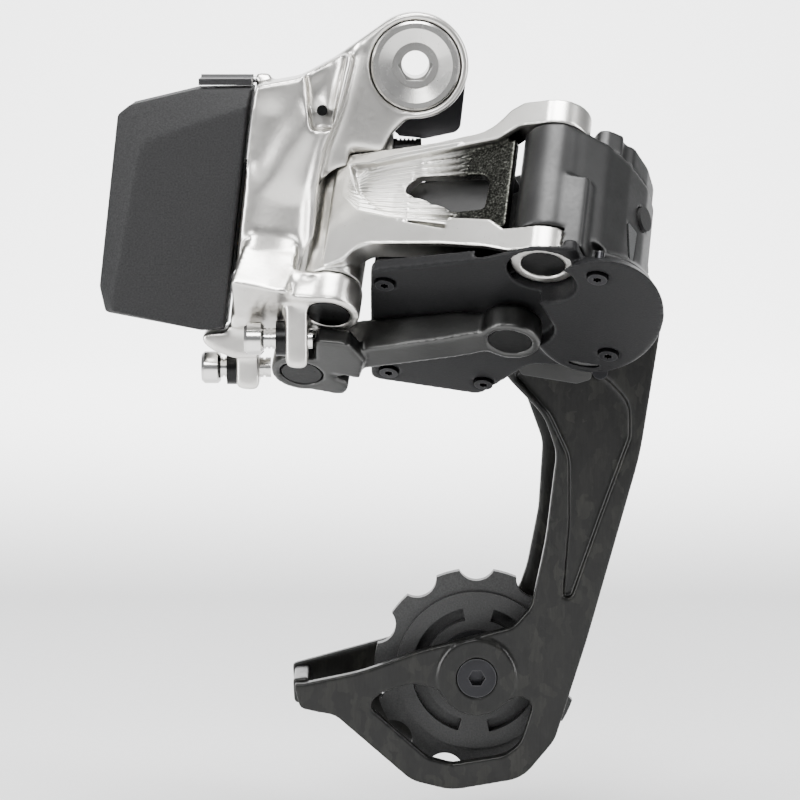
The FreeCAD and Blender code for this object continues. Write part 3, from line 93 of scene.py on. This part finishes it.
# the outer link's own directions: along it, across it (inboard) and up its pins
JOINTS = {joint["name"]: joint for joint in frame["joints"]}
LINK_START = Vector(JOINTS["outer_link_swing"]["pos_m"])
PIN_AXIS = Vector(JOINTS["outer_link_swing"]["axis"]).normalized()
PIN_TO_PIN = Vector(JOINTS["drive_knuckle_swing"]["pos_m"]) - LINK_START
ALONG_LINK = (PIN_TO_PIN - PIN_AXIS * PIN_TO_PIN.dot(PIN_AXIS)).normalized()
ACROSS_LINK = PIN_AXIS.cross(ALONG_LINK)
START_LEVEL = 20.0 * MM     # level of the joint's stated place on the pin axis


# ---------------------------------------------------------------- materials

def tree_of(name):
    """A new node material: itself, its nodes, its links and its principled shader."""
    mat = bpy.data.materials.new(name)
    mat.use_nodes = True
    nodes = mat.node_tree.nodes
    return mat, nodes, mat.node_tree.links, nodes["Principled BSDF"]


def object_noise(nodes, links, scale, detail, stretch=(1.0, 1.0, 1.0)):
    """Noise fixed to the piece, its scale in waves to the millimetre."""
    place = nodes.new("ShaderNodeTexCoord")
    mapping = nodes.new("ShaderNodeMapping")
    mapping.inputs["Scale"].default_value = stretch
    noise = nodes.new("ShaderNodeTexNoise")
    noise.inputs["Scale"].default_value = scale / MM
    noise.inputs["Detail"].default_value = detail
    links.new(place.outputs["Object"], mapping.inputs["Vector"])
    links.new(mapping.outputs["Vector"], noise.inputs["Vector"])
    return noise


def ramp(nodes, links, source, stops):
    """A colour ramp from a list of (place, colour)."""
    band = nodes.new("ShaderNodeValToRGB")
    elements = band.color_ramp.elements
    while len(elements) < len(stops):
        elements.new(0.5)
    for element, (place, colour) in zip(elements, stops):
        element.position = place
        element.color = (*colour, 1.0)
    links.new(source, band.inputs["Fac"])
    return band


def rough_between(nodes, links, shader, source, low, high):
    """The shader's roughness wanders between two values."""
    squeeze = nodes.new("ShaderNodeMapRange")
    squeeze.inputs["To Min"].default_value = low
    squeeze.inputs["To Max"].default_value = high
    links.new(source, squeeze.inputs["Value"])
    links.new(squeeze.outputs["Result"], shader.inputs["Roughness"])


def relief(nodes, links, shader, source, depth):
    """A fine bump on the surface, its depth in millimetres."""
    bump = nodes.new("ShaderNodeBump")
    bump.inputs["Distance"].default_value = depth * MM
    bump.inputs["Strength"].default_value = 1.0
    links.new(source, bump.inputs["Height"])
    links.new(bump.outputs["Normal"], shader.inputs["Normal"])


def mixed(nodes, links, blend, factor, first, second):
    """Two colours blended; the factor is a number or another node's output."""
    mix = nodes.new("ShaderNodeMix")
    mix.data_type = "RGBA"
    mix.blend_type = blend
    if isinstance(factor, float):
        mix.inputs["Factor"].default_value = factor
    else:
        links.new(factor, mix.inputs["Factor"])
    links.new(first, mix.inputs["A"])
    links.new(second, mix.inputs["B"])
    return mix.outputs["Result"]


# the painted highlight on edges fades in between these two turns of the surface
EDGE_FULL = 0.86            # cosine of the turn at which an edge is brightest
EDGE_NONE = 0.985           # and at which it is no brighter than the face


def painted_edge_highlight(nodes, links, radius, base, lift):
    """The base colour, brightened where the surface turns sharply: a painted highlight along the edges.
    """
    bevel = nodes.new("ShaderNodeBevel")
    bevel.samples = 4
    bevel.inputs["Radius"].default_value = radius * MM
    geometry = nodes.new("ShaderNodeNewGeometry")
    dot = nodes.new("ShaderNodeVectorMath")
    dot.operation = "DOT_PRODUCT"
    links.new(bevel.outputs["Normal"], dot.inputs[0])
    links.new(geometry.outputs["Normal"], dot.inputs[1])
    band = ramp(nodes, links, dot.outputs["Value"], [(EDGE_FULL, lift), (EDGE_NONE, (0, 0, 0))])
    return mixed(nodes, links, "ADD", 1.0, base, band.outputs["Color"])


CLOUD = 0.12                # scale of the slow change of colour over a metal


def metal(name, colour, rough, depth=0.02, edge=None):
    """Satin metal: slow cloudiness in its colour, fine grain in its roughness and surface."""
    mat, nodes, links, shader = tree_of(name)
    cloud = object_noise(nodes, links, CLOUD, 3.0)
    tint = ramp(nodes, links, cloud.outputs["Fac"], [
        (0.3, [c * 0.86 for c in colour]), (0.7, [min(1.0, c * 1.1) for c in colour])])
    colour_out = tint.outputs["Color"]
    # edge is the colour of a painted highlight along sharp edges, standing in for the light they catch
    if edge:
        colour_out = painted_edge_highlight(nodes, links, 0.35, colour_out, edge)
    links.new(colour_out, shader.inputs["Base Color"])
    fine = object_noise(nodes, links, 1.2, 6.0)
    rough_between(nodes, links, shader, fine.outputs["Fac"], rough * 0.82, rough * 1.18)
    relief(nodes, links, shader, fine.outputs["Fac"], depth)
    shader.inputs["Metallic"].default_value = 1.0
    return mat


def plastic(name, colour, rough, depth=0.05, coat=0.0, shine=0.3):
    """Moulded plastic with a spark-eroded grain."""
    mat, nodes, links, shader = tree_of(name)
    fine = object_noise(nodes, links, 3.0, 5.0)
    tint = ramp(nodes, links, fine.outputs["Fac"], [
        (0.3, [c * 0.7 for c in colour]), (0.72, [min(1.0, c * 1.35) for c in colour])])
    links.new(tint.outputs["Color"], shader.inputs["Base Color"])
    rough_between(nodes, links, shader, fine.outputs["Fac"], rough * 0.85, rough * 1.15)
    relief(nodes, links, shader, fine.outputs["Fac"], depth)
    shader.inputs["Specular IOR Level"].default_value = shine
    if coat:
        shader.inputs["Coat Weight"].default_value = coat
        shader.inputs["Coat Roughness"].default_value = 0.2
    return mat


def forged_carbon(name):
    """Chopped carbon under lacquer: flakes of different grey lying at their own angles."""
    mat, nodes, links, shader = tree_of(name)
    place = nodes.new("ShaderNodeTexCoord")
    wander = nodes.new("ShaderNodeTexNoise")
    wander.inputs["Scale"].default_value = 260.0
    wander.inputs["Detail"].default_value = 3.0
    links.new(place.outputs["Object"], wander.inputs["Vector"])
    shift = nodes.new("ShaderNodeVectorMath")
    shift.operation = "MULTIPLY_ADD"
    shift.inputs[1].default_value = (0.006, 0.006, 0.006)
    links.new(wander.outputs["Color"], shift.inputs[0])
    links.new(place.outputs["Object"], shift.inputs[2])
    mapping = nodes.new("ShaderNodeMapping")
    mapping.inputs["Scale"].default_value = (1.0, 0.4, 0.42)
    mapping.inputs["Rotation"].default_value = (0.0, 0.5, 0.0)
    links.new(shift.outputs["Vector"], mapping.inputs["Vector"])
    flakes = nodes.new("ShaderNodeTexVoronoi")
    flakes.inputs["Scale"].default_value = 700.0
    links.new(mapping.outputs["Vector"], flakes.inputs["Vector"])
    spread = nodes.new("ShaderNodeSeparateColor")
    links.new(flakes.outputs["Color"], spread.inputs["Color"])
    tone = ramp(nodes, links, spread.outputs["Red"], [
        (0.0, (0.003, 0.003, 0.0027)), (0.5, (0.0045, 0.0045, 0.004)),
        (0.8, (0.007, 0.007, 0.006)), (1.0, (0.012, 0.0118, 0.01))])
    threads = object_noise(nodes, links, 2.2, 4.0, (1.0, 1.0, 0.12))
    shade = ramp(nodes, links, threads.outputs["Fac"], [
        (0.3, (0.35, 0.35, 0.35)), (0.65, (1.0, 1.0, 1.0))])
    flaked = mixed(nodes, links, "MULTIPLY", 0.7, tone.outputs["Color"], shade.outputs["Color"])
    # painted highlight along the plates' sharp edges: a sheen standing in for the light caught there
    edged = painted_edge_highlight(nodes, links, 0.4, flaked, (0.05, 0.05, 0.045))
    links.new(edged, shader.inputs["Base Color"])
    rough_between(nodes, links, shader, spread.outputs["Green"], 0.3, 0.42)
    relief(nodes, links, shader, threads.outputs["Fac"], 0.03)
    shader.inputs["Specular IOR Level"].default_value = 0.16
    shader.inputs["Coat Weight"].default_value = 0.22
    shader.inputs["Coat Roughness"].default_value = 0.16
    return mat


def reach_along(nodes, links, place, direction, low, high):
    """0 to 1 as a point goes from one distance to another along a direction, in millimetres."""
    dot = nodes.new("ShaderNodeVectorMath")
    dot.operation = "DOT_PRODUCT"
    dot.inputs[1].default_value = direction
    links.new(place, dot.inputs[0])
    fade = nodes.new("ShaderNodeMapRange")
    fade.interpolation_type = "SMOOTHSTEP"
    start = LINK_START.dot(direction)
    fade.inputs["From Min"].default_value = start + low * MM
    fade.inputs["From Max"].default_value = start + high * MM
    links.new(dot.outputs["Value"], fade.inputs["Value"])
    return fade.outputs["Result"]


def times(nodes, links, first, second):
    """The product of two values, kept between 0 and 1."""
    product = nodes.new("ShaderNodeMath")
    product.operation = "MULTIPLY"
    product.use_clamp = True
    links.new(first, product.inputs[0])
    links.new(second, product.inputs[1])
    return product.outputs["Value"]


# the outer link's dark part, in millimetres from its first pin: where each edge fades in and is full
DARK_ACROSS = (-5.6, -4.7)  # only the recessed web, not the raised rim
DARK_START = (17.0, 27.0)
DARK_END = (38.5, 36.2)     # counted back from the front pins' barrel


def link_metal(name):
    """Satin silver, with the recessed web turning to speckled charcoal towards the front pins."""
    mat, nodes, links, shader = tree_of(name)
    place = nodes.new("ShaderNodeTexCoord").outputs["Object"]
    recessed = reach_along(nodes, links, place, ACROSS_LINK, *DARK_ACROSS)
    forward = reach_along(nodes, links, place, ALONG_LINK, *DARK_START)
    before_pins = reach_along(nodes, links, place, ALONG_LINK, *DARK_END)
    mask = times(nodes, links, times(nodes, links, recessed, forward), before_pins)
    speck = object_noise(nodes, links, 2.6, 5.0)
    grain = ramp(nodes, links, speck.outputs["Fac"], [
        (0.42, (0.011, 0.0112, 0.01)), (0.62, (0.045, 0.046, 0.04)), (0.72, (0.12, 0.12, 0.11))])
    cloud = object_noise(nodes, links, CLOUD, 3.0)
    silver = ramp(nodes, links, cloud.outputs["Fac"], [
        (0.3, (0.6, 0.59, 0.56)), (0.7, (0.7, 0.69, 0.66))])
    tone = mixed(nodes, links, "MIX", mask, silver.outputs["Color"], grain.outputs["Color"])
    links.new(tone, shader.inputs["Base Color"])
    rough_between(nodes, links, shader, speck.outputs["Fac"], 0.24, 0.36)
    relief(nodes, links, shader, speck.outputs["Fac"], 0.01)
    shader.inputs["Metallic"].default_value = 1.0
    return mat


# ------------------------------------------------------------------ pieces

def dress(node, mat):
    """A CAD node keeps its shape and takes a material."""
    mesh = NODES[node].data
    mesh.materials.clear()
    mesh.materials.append(mat)


def placed(name, data):
    """A new object in the scene."""
    obj = bpy.data.objects.new(name, data)
    bpy.context.scene.collection.objects.link(obj)
    return obj


def cast_copy(node, mat, voxel, rounds):
    """The node's shape with its edges and corners softened, in place of the node."""
    mesh = NODES[node].data.copy()
    mesh.name = node + "_cast"
    piece = placed(node + "_cast", mesh)
    mesh.materials.clear()
    mesh.materials.append(mat)
    remesh = piece.modifiers.new("skin", "REMESH")
    remesh.mode = "VOXEL"
    remesh.voxel_size = voxel * MM
    remesh.use_smooth_shade = True
    smooth = piece.modifiers.new("soften", "CORRECTIVE_SMOOTH")
    smooth.use_only_smooth = True
    smooth.iterations = rounds
    smooth.factor = 0.5
    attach(piece, body_of(NODES[node])[0])
    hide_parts(node)
    return piece


# each edge colour below is a painted highlight added along the piece's sharp edges
SILVER = metal("warm_silver", (0.66, 0.645, 0.615), 0.3, edge=(0.1, 0.1, 0.1))
LINK_SILVER = link_metal("silver_to_charcoal")
GREY = metal("anodised_grey", (0.06, 0.06, 0.059), 0.34, edge=(0.04, 0.04, 0.04))
HOUSING = metal("housing_grey", (0.05, 0.05, 0.05), 0.46, depth=0.01, edge=(0.02, 0.02, 0.02))
COVER = plastic("cover_black", (0.009, 0.009, 0.0095), 0.4, depth=0.02, shine=0.1)
BATTERY = plastic("battery_grain", (0.02, 0.02, 0.0205), 0.55, depth=0.1, shine=0.1)
LATCH = plastic("latch_black", (0.015, 0.015, 0.016), 0.45)
PIN = metal("pin_black_oxide", (0.02, 0.02, 0.02), 0.3)
BRIGHT = metal("bright_steel", (0.75, 0.74, 0.72), 0.16, depth=0.006)
STEEL = metal("steel", (0.42, 0.42, 0.42), 0.3)
BOLT = metal("bolt_silver", (0.62, 0.61, 0.59), 0.26, depth=0.004)
BLACK_METAL = metal("black_anodised", (0.025, 0.025, 0.027), 0.32, edge=(0.05, 0.05, 0.05))
CARBON = forged_carbon("forged_carbon")
WHEEL = plastic("wheel_plastic", (0.026, 0.026, 0.026), 0.38, depth=0.03, shine=0.25)
BEARING = plastic("bearing_plastic", (0.02, 0.02, 0.021), 0.4)
RUBBER = plastic("rubber", (0.012, 0.012, 0.012), 0.7)
BRASS = metal("brass", (0.72, 0.5, 0.2), 0.3)
GOLD = metal("gold_contacts", (0.83, 0.62, 0.26), 0.22)
BOARD = plastic("board_green", (0.02, 0.09, 0.04), 0.45)
LENS = plastic("lens_smoked", (0.02, 0.021, 0.021), 0.12, depth=0.01, coat=0.6)
WRAP = plastic("cell_wrap", (0.05, 0.09, 0.2), 0.4)

FINISH = {
    "silver_alloy": SILVER,
    "grey_alloy": GREY,
    "black_cover": COVER,
    "battery_plastic": BATTERY,
    "pin_black": PIN,
    "bright_steel": BRIGHT,
    "steel": STEEL,
    "carbon": CARBON,
    "pulley_plastic": WHEEL,
    "bearing_plastic": BEARING,
    "rubber": RUBBER,
    "brass": BRASS,
    "board_green": BOARD,
    "lens": LENS,
    "cell_wrap": WRAP,
}

# nodes whose finish differs from the plain one of their slot
SPECIAL = {
    "mounting_bolt": BOLT,
    "limit_screw_collars": PIN,
    "cage_bolts": BLACK_METAL,
    "cage_stop_pin": BLACK_METAL,
    "cover_screws": BLACK_METAL,
    "hanger_stop_plate": BLACK_METAL,
    "mounting_bolt_clip": BLACK_METAL,
    "battery_latch": LATCH,
    "contact_pins": GOLD,
    "function_button": RUBBER,
    "motor_pinion": BRASS,
}

for part in frame["record"]["subparts"]:
    dress(part["node"], SPECIAL.get(part["node"], FINISH[part["material_slot"]]))

# softened pieces: node, material, slot, voxel size in millimetres, rounds of smoothing
CASTINGS = [
    ("b_knuckle", SILVER, "silver_alloy", 0.3, 24),
    ("outer_link", LINK_SILVER, "silver_alloy", 0.17, 16),
    ("inner_link", GREY, "grey_alloy", 0.3, 12),
    ("motor_housing", HOUSING, "grey_alloy", 0.32, 10),
    ("motor_cap", HOUSING, "grey_alloy", 0.3, 10),
    ("gearbox_cover", COVER, "black_cover", 0.28, 12),
    ("battery_case", BATTERY, "battery_plastic", 0.35, 8),
    ("outer_cage_plate", CARBON, "carbon", 0.3, 4),
    ("inner_cage_plate", CARBON, "carbon", 0.3, 4),
    ("cage_bridge", CARBON, "carbon", 0.3, 4),
]
CAST = {}
for node, mat, slot, voxel, rounds in CASTINGS:
    CAST[node] = cast_copy(node, mat, voxel, rounds)


# ------------------------------------------------------------ surface relief

def baked(piece):
    """The piece's modifiers are made part of its mesh, which is returned with its points and normals."""
    graph = bpy.context.evaluated_depsgraph_get()
    mesh = bpy.data.meshes.new_from_object(piece.evaluated_get(graph))
    piece.modifiers.clear()
    piece.data = mesh
    points = np.empty(len(mesh.vertices) * 3, np.float32)
    mesh.vertices.foreach_get("co", points)
    normals = np.empty(len(mesh.vertices) * 3, np.float32)
    mesh.vertex_normals.foreach_get("vector", normals)
    return mesh, points.reshape(-1, 3), normals.reshape(-1, 3)


def store(mesh, points):
    """The mesh takes its points back and is shaded smooth."""
    mesh.vertices.foreach_set("co", points.astype(np.float32).ravel())
    mesh.update()
    for face in mesh.polygons:
        face.use_smooth = True


def stroke(across, up, line, width):
    """1 on a line through (across, up) places, fading to 0 beside it; all in millimetres."""
    nearest = np.full(len(across), 1e9)
    for (x0, z0), (x1, z1) in zip(line, line[1:]):
        length = (x1 - x0) ** 2 + (z1 - z0) ** 2
        share = np.clip(((across - x0) * (x1 - x0) + (up - z0) * (z1 - z0)) / length, 0, 1)
        gap = np.hypot(across - x0 - share * (x1 - x0), up - z0 - share * (z1 - z0))
        nearest = np.minimum(nearest, gap)
    return np.exp(-(nearest / width) ** 2)


OUTBOARD_FROM = 0.35        # how far a face must turn outboard before a stroke shows on it
OUTBOARD_FADE = 0.4         # and how much further until it shows in full

# ridges (positive) and hollows (negative) of the knuckle's outboard side: height, width, line
KNUCKLE_STROKES = [
    (0.9, 1.5, [(-11.6, 2.5), (-14.6, -6.6), (-18.0, -15.7), (-19.6, -23), (-20.2, -33), (-20.0, -38)]),
    (0.9, 3.2, [(-19.5, -9.0), (-24.5, -16.0), (-30.0, -24.0), (-32.5, -33.0)]),
    (-1.0, 3.6, [(-24.0, -27.0), (-24.5, -36.0)]),
    (-0.7, 3.4, [(-28.0, -10.0), (-30.5, -17.0)]),
    (0.7, 1.6, [(-21.5, -38.5), (-26.5, -42.0), (-31.5, -47.0)]),
    (-0.8, 2.6, [(-16.2, 0.5), (-18.6, -5.5)]),
]


def sculpt_knuckle(piece):
    """Raises and sinks the strokes on what faces outboard."""
    mesh, points, normals = baked(piece)
    outward = np.clip((-normals[:, 1] - OUTBOARD_FROM) / OUTBOARD_FADE, 0, 1)
    height = np.zeros(len(points))
    for tall, width, line in KNUCKLE_STROKES:
        height += tall * stroke(points[:, 0] / MM, points[:, 2] / MM, line, width)
    points[:, 1] -= height * outward * MM
    store(mesh, points)


RIB_COUNT = 13
RIB_DEPTH = 0.4             # millimetres
RIB_START = 2.0             # along the link, where the fan opens
RIB_END = 26.2              # and where it stops
RIB_FADE_IN = 4.0
RIB_FADE_OUT = 1.5
RIB_FLAT_FROM = 0.8         # how far a face must turn outboard before it is grooved
RIB_FLAT_FADE = 0.15
WEB_OUTER = -6.5            # the web's own place across the link
WEB_INNER = -3.4
RIB_LOW = [(2.0, 23.6), (6.0, 19.4), (12.0, 17.2), (20.0, 15.6), (27.0, 14.6)]   # its lower edge
RIB_HIGH = [(2.0, 27.0), (6.0, 30.6), (12.0, 31.8), (20.0, 32.6), (27.0, 33.2)]  # and upper edge


def carve_ribs(piece):
    """Grooves that fan over the outer link's recessed web, from its rear barrel to past the window."""
    mesh, points, normals = baked(piece)
    place = points - np.array(LINK_START)
    along = place @ np.array(ALONG_LINK) / MM
    level = (place @ np.array(PIN_AXIS) + START_LEVEL) / MM
    across = place @ np.array(ACROSS_LINK) / MM
    facing = np.clip((-(normals @ np.array(ACROSS_LINK)) - RIB_FLAT_FROM) / RIB_FLAT_FADE, 0, 1)
    low = np.interp(along, *zip(*RIB_LOW))
    high = np.interp(along, *zip(*RIB_HIGH))
    share = (level - low) / (high - low)
    wave = np.sin(math.pi * RIB_COUNT * np.clip(share, 0, 1)) ** 2
    begin = np.clip((along - RIB_START) / RIB_FADE_IN, 0, 1)
    stop = np.clip((RIB_END - along) / RIB_FADE_OUT, 0, 1)
    inside = (share > 0) * (share < 1) * (across > WEB_OUTER) * (across < WEB_INNER)
    depth = RIB_DEPTH * wave * begin * stop * inside * facing
    points += depth[:, None] * np.array(ACROSS_LINK) * MM
    store(mesh, points)


sculpt_knuckle(CAST["b_knuckle"])
carve_ribs(CAST["outer_link"])


PULLEY_WEB_RADII = (10.2, 13.7)     # just past the slots' inner and outer ends
PULLEY_WEB_SIDES = (0.45, 0.85)     # its two faces, inboard of the wheel's middle
PULLEY_WEB_STEPS = 96


def wheel_web(wheel):
    """Thin ring inside a pulley, which closes its slots."""
    low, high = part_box(wheel)
    centre = (low + high) / 2
    steps = PULLEY_WEB_STEPS
    verts = []
    for side in PULLEY_WEB_SIDES:
        for radius in PULLEY_WEB_RADII:
            for i in range(steps):
                turn = 2 * math.pi * i / steps
                verts.append((centre.x + radius * MM * math.cos(turn), centre.y + side * MM,
                              centre.z + radius * MM * math.sin(turn)))
    faces = []
    for i in range(steps):
        j = (i + 1) % steps
        for a, b in ((0, 1), (1, 3), (3, 2), (2, 0)):
            faces.append((a * steps + i, a * steps + j, b * steps + j, b * steps + i))
    mesh = bpy.data.meshes.new(wheel + "_web")
    mesh.from_pydata(verts, [], faces)
    mesh.materials.append(WHEEL)
    web = placed(wheel + "_web", mesh)
    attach(web, body_of(NODES[wheel])[0])


wheel_web("upper_pulley")
wheel_web("lower_pulley")


# ------------------------------------------------------- floor, light, camera

LOW, HIGH = SIZE_AT_START
MIDDLE = (LOW + HIGH) / 2
FLOOR_GAP = 0.012           # the object floats this far over the floor
ROOM_COLOUR = (0.95, 0.97, 1.0, 1.0)
ROOM_STRENGTH = 0.32

world = bpy.data.worlds.new("studio")
bpy.context.scene.world = world
world.use_nodes = True
world.node_tree.nodes["Background"].inputs["Color"].default_value = ROOM_COLOUR
world.node_tree.nodes["Background"].inputs["Strength"].default_value = ROOM_STRENGTH


def soft_box(name, place, aim, width, height, watts):
    """A lamp of its own width and height at a place, facing another."""
    lamp = bpy.data.lights.new(name, "AREA")
    lamp.shape = "RECTANGLE"
    lamp.size = width
    lamp.size_y = height
    lamp.energy = watts
    obj = placed(name, lamp)
    obj.location = place
    obj.rotation_euler = (Vector(aim) - Vector(place)).to_track_quat("-Z", "Y").to_euler()
    return obj


SWEEP_STEPS = 24            # faces in the backdrop's curve


def paper(name):
    """Matt white paper with the faintest unevenness."""
    mat, nodes, links, shader = tree_of(name)
    fibre = object_noise(nodes, links, 0.5, 2.0)
    tint = ramp(nodes, links, fibre.outputs["Fac"], [
        (0.3, (0.885, 0.885, 0.885)), (0.7, (0.9, 0.9, 0.9))])
    links.new(tint.outputs["Color"], shader.inputs["Base Color"])
    shader.inputs["Roughness"].default_value = 0.9
    shader.inputs["Specular IOR Level"].default_value = 0.1
    return mat


def backdrop(level, near, far, width, height, sweep):
    """Pale floor that curves up into a wall behind the object."""
    profile = [(near, level)]
    for i in range(SWEEP_STEPS + 1):
        turn = math.radians(90.0 * i / SWEEP_STEPS)
        profile.append((far - sweep + sweep * math.sin(turn), level + sweep - sweep * math.cos(turn)))
    profile.append((far, level + height))
    verts = [(side * width, y, z) for y, z in profile for side in (-1, 1)]
    faces = [(2 * i, 2 * i + 1, 2 * i + 3, 2 * i + 2) for i in range(len(profile) - 1)]
    mesh = bpy.data.meshes.new("backdrop")
    mesh.from_pydata(verts, [], faces)
    for face in mesh.polygons:
        face.use_smooth = True
    mesh.materials.append(paper("paper_white"))
    return placed("backdrop", mesh)


floor = backdrop(LOW.z - FLOOR_GAP, near=-3.0, far=1.6, width=3.0, height=2.5, sweep=0.8)

# each soft box: place, what it faces, width, height, watts
WALL_SPOT = (0.0, 1.6, 0.1)
SOFT_BOXES = {
    "soft_box_top": ((0.0, -0.12, 0.5), MIDDLE, 0.32, 0.32, 7.0),
    "soft_box_left": ((-0.48, -0.28, 0.12), MIDDLE, 0.16, 0.6, 5.0),
    "soft_box_right": ((0.5, -0.2, 0.05), MIDDLE, 0.1, 0.7, 3.5),
    "soft_box_front": ((-0.12, -0.7, 0.42), MIDDLE, 0.25, 0.25, 3.0),
    "soft_box_back": ((0.0, 0.5, 0.5), WALL_SPOT, 0.5, 0.5, 40.0),
}
lamps = [soft_box(name, *values) for name, values in SOFT_BOXES.items()]

CAMERA_PLACE = (-0.003, -0.64367, 0.02346)
CAMERA_PITCH = 82.0         # degrees from looking straight down
SENSOR = 36.0               # millimetres
FOCAL_LENGTH = 146.25

lens = bpy.data.cameras.new("photo_camera")
lens.sensor_width = SENSOR
lens.lens = FOCAL_LENGTH
camera = placed("photo_camera", lens)
camera.location = CAMERA_PLACE
camera.rotation_euler = (math.radians(CAMERA_PITCH), 0.0, 0.0)
bpy.context.scene.camera = camera
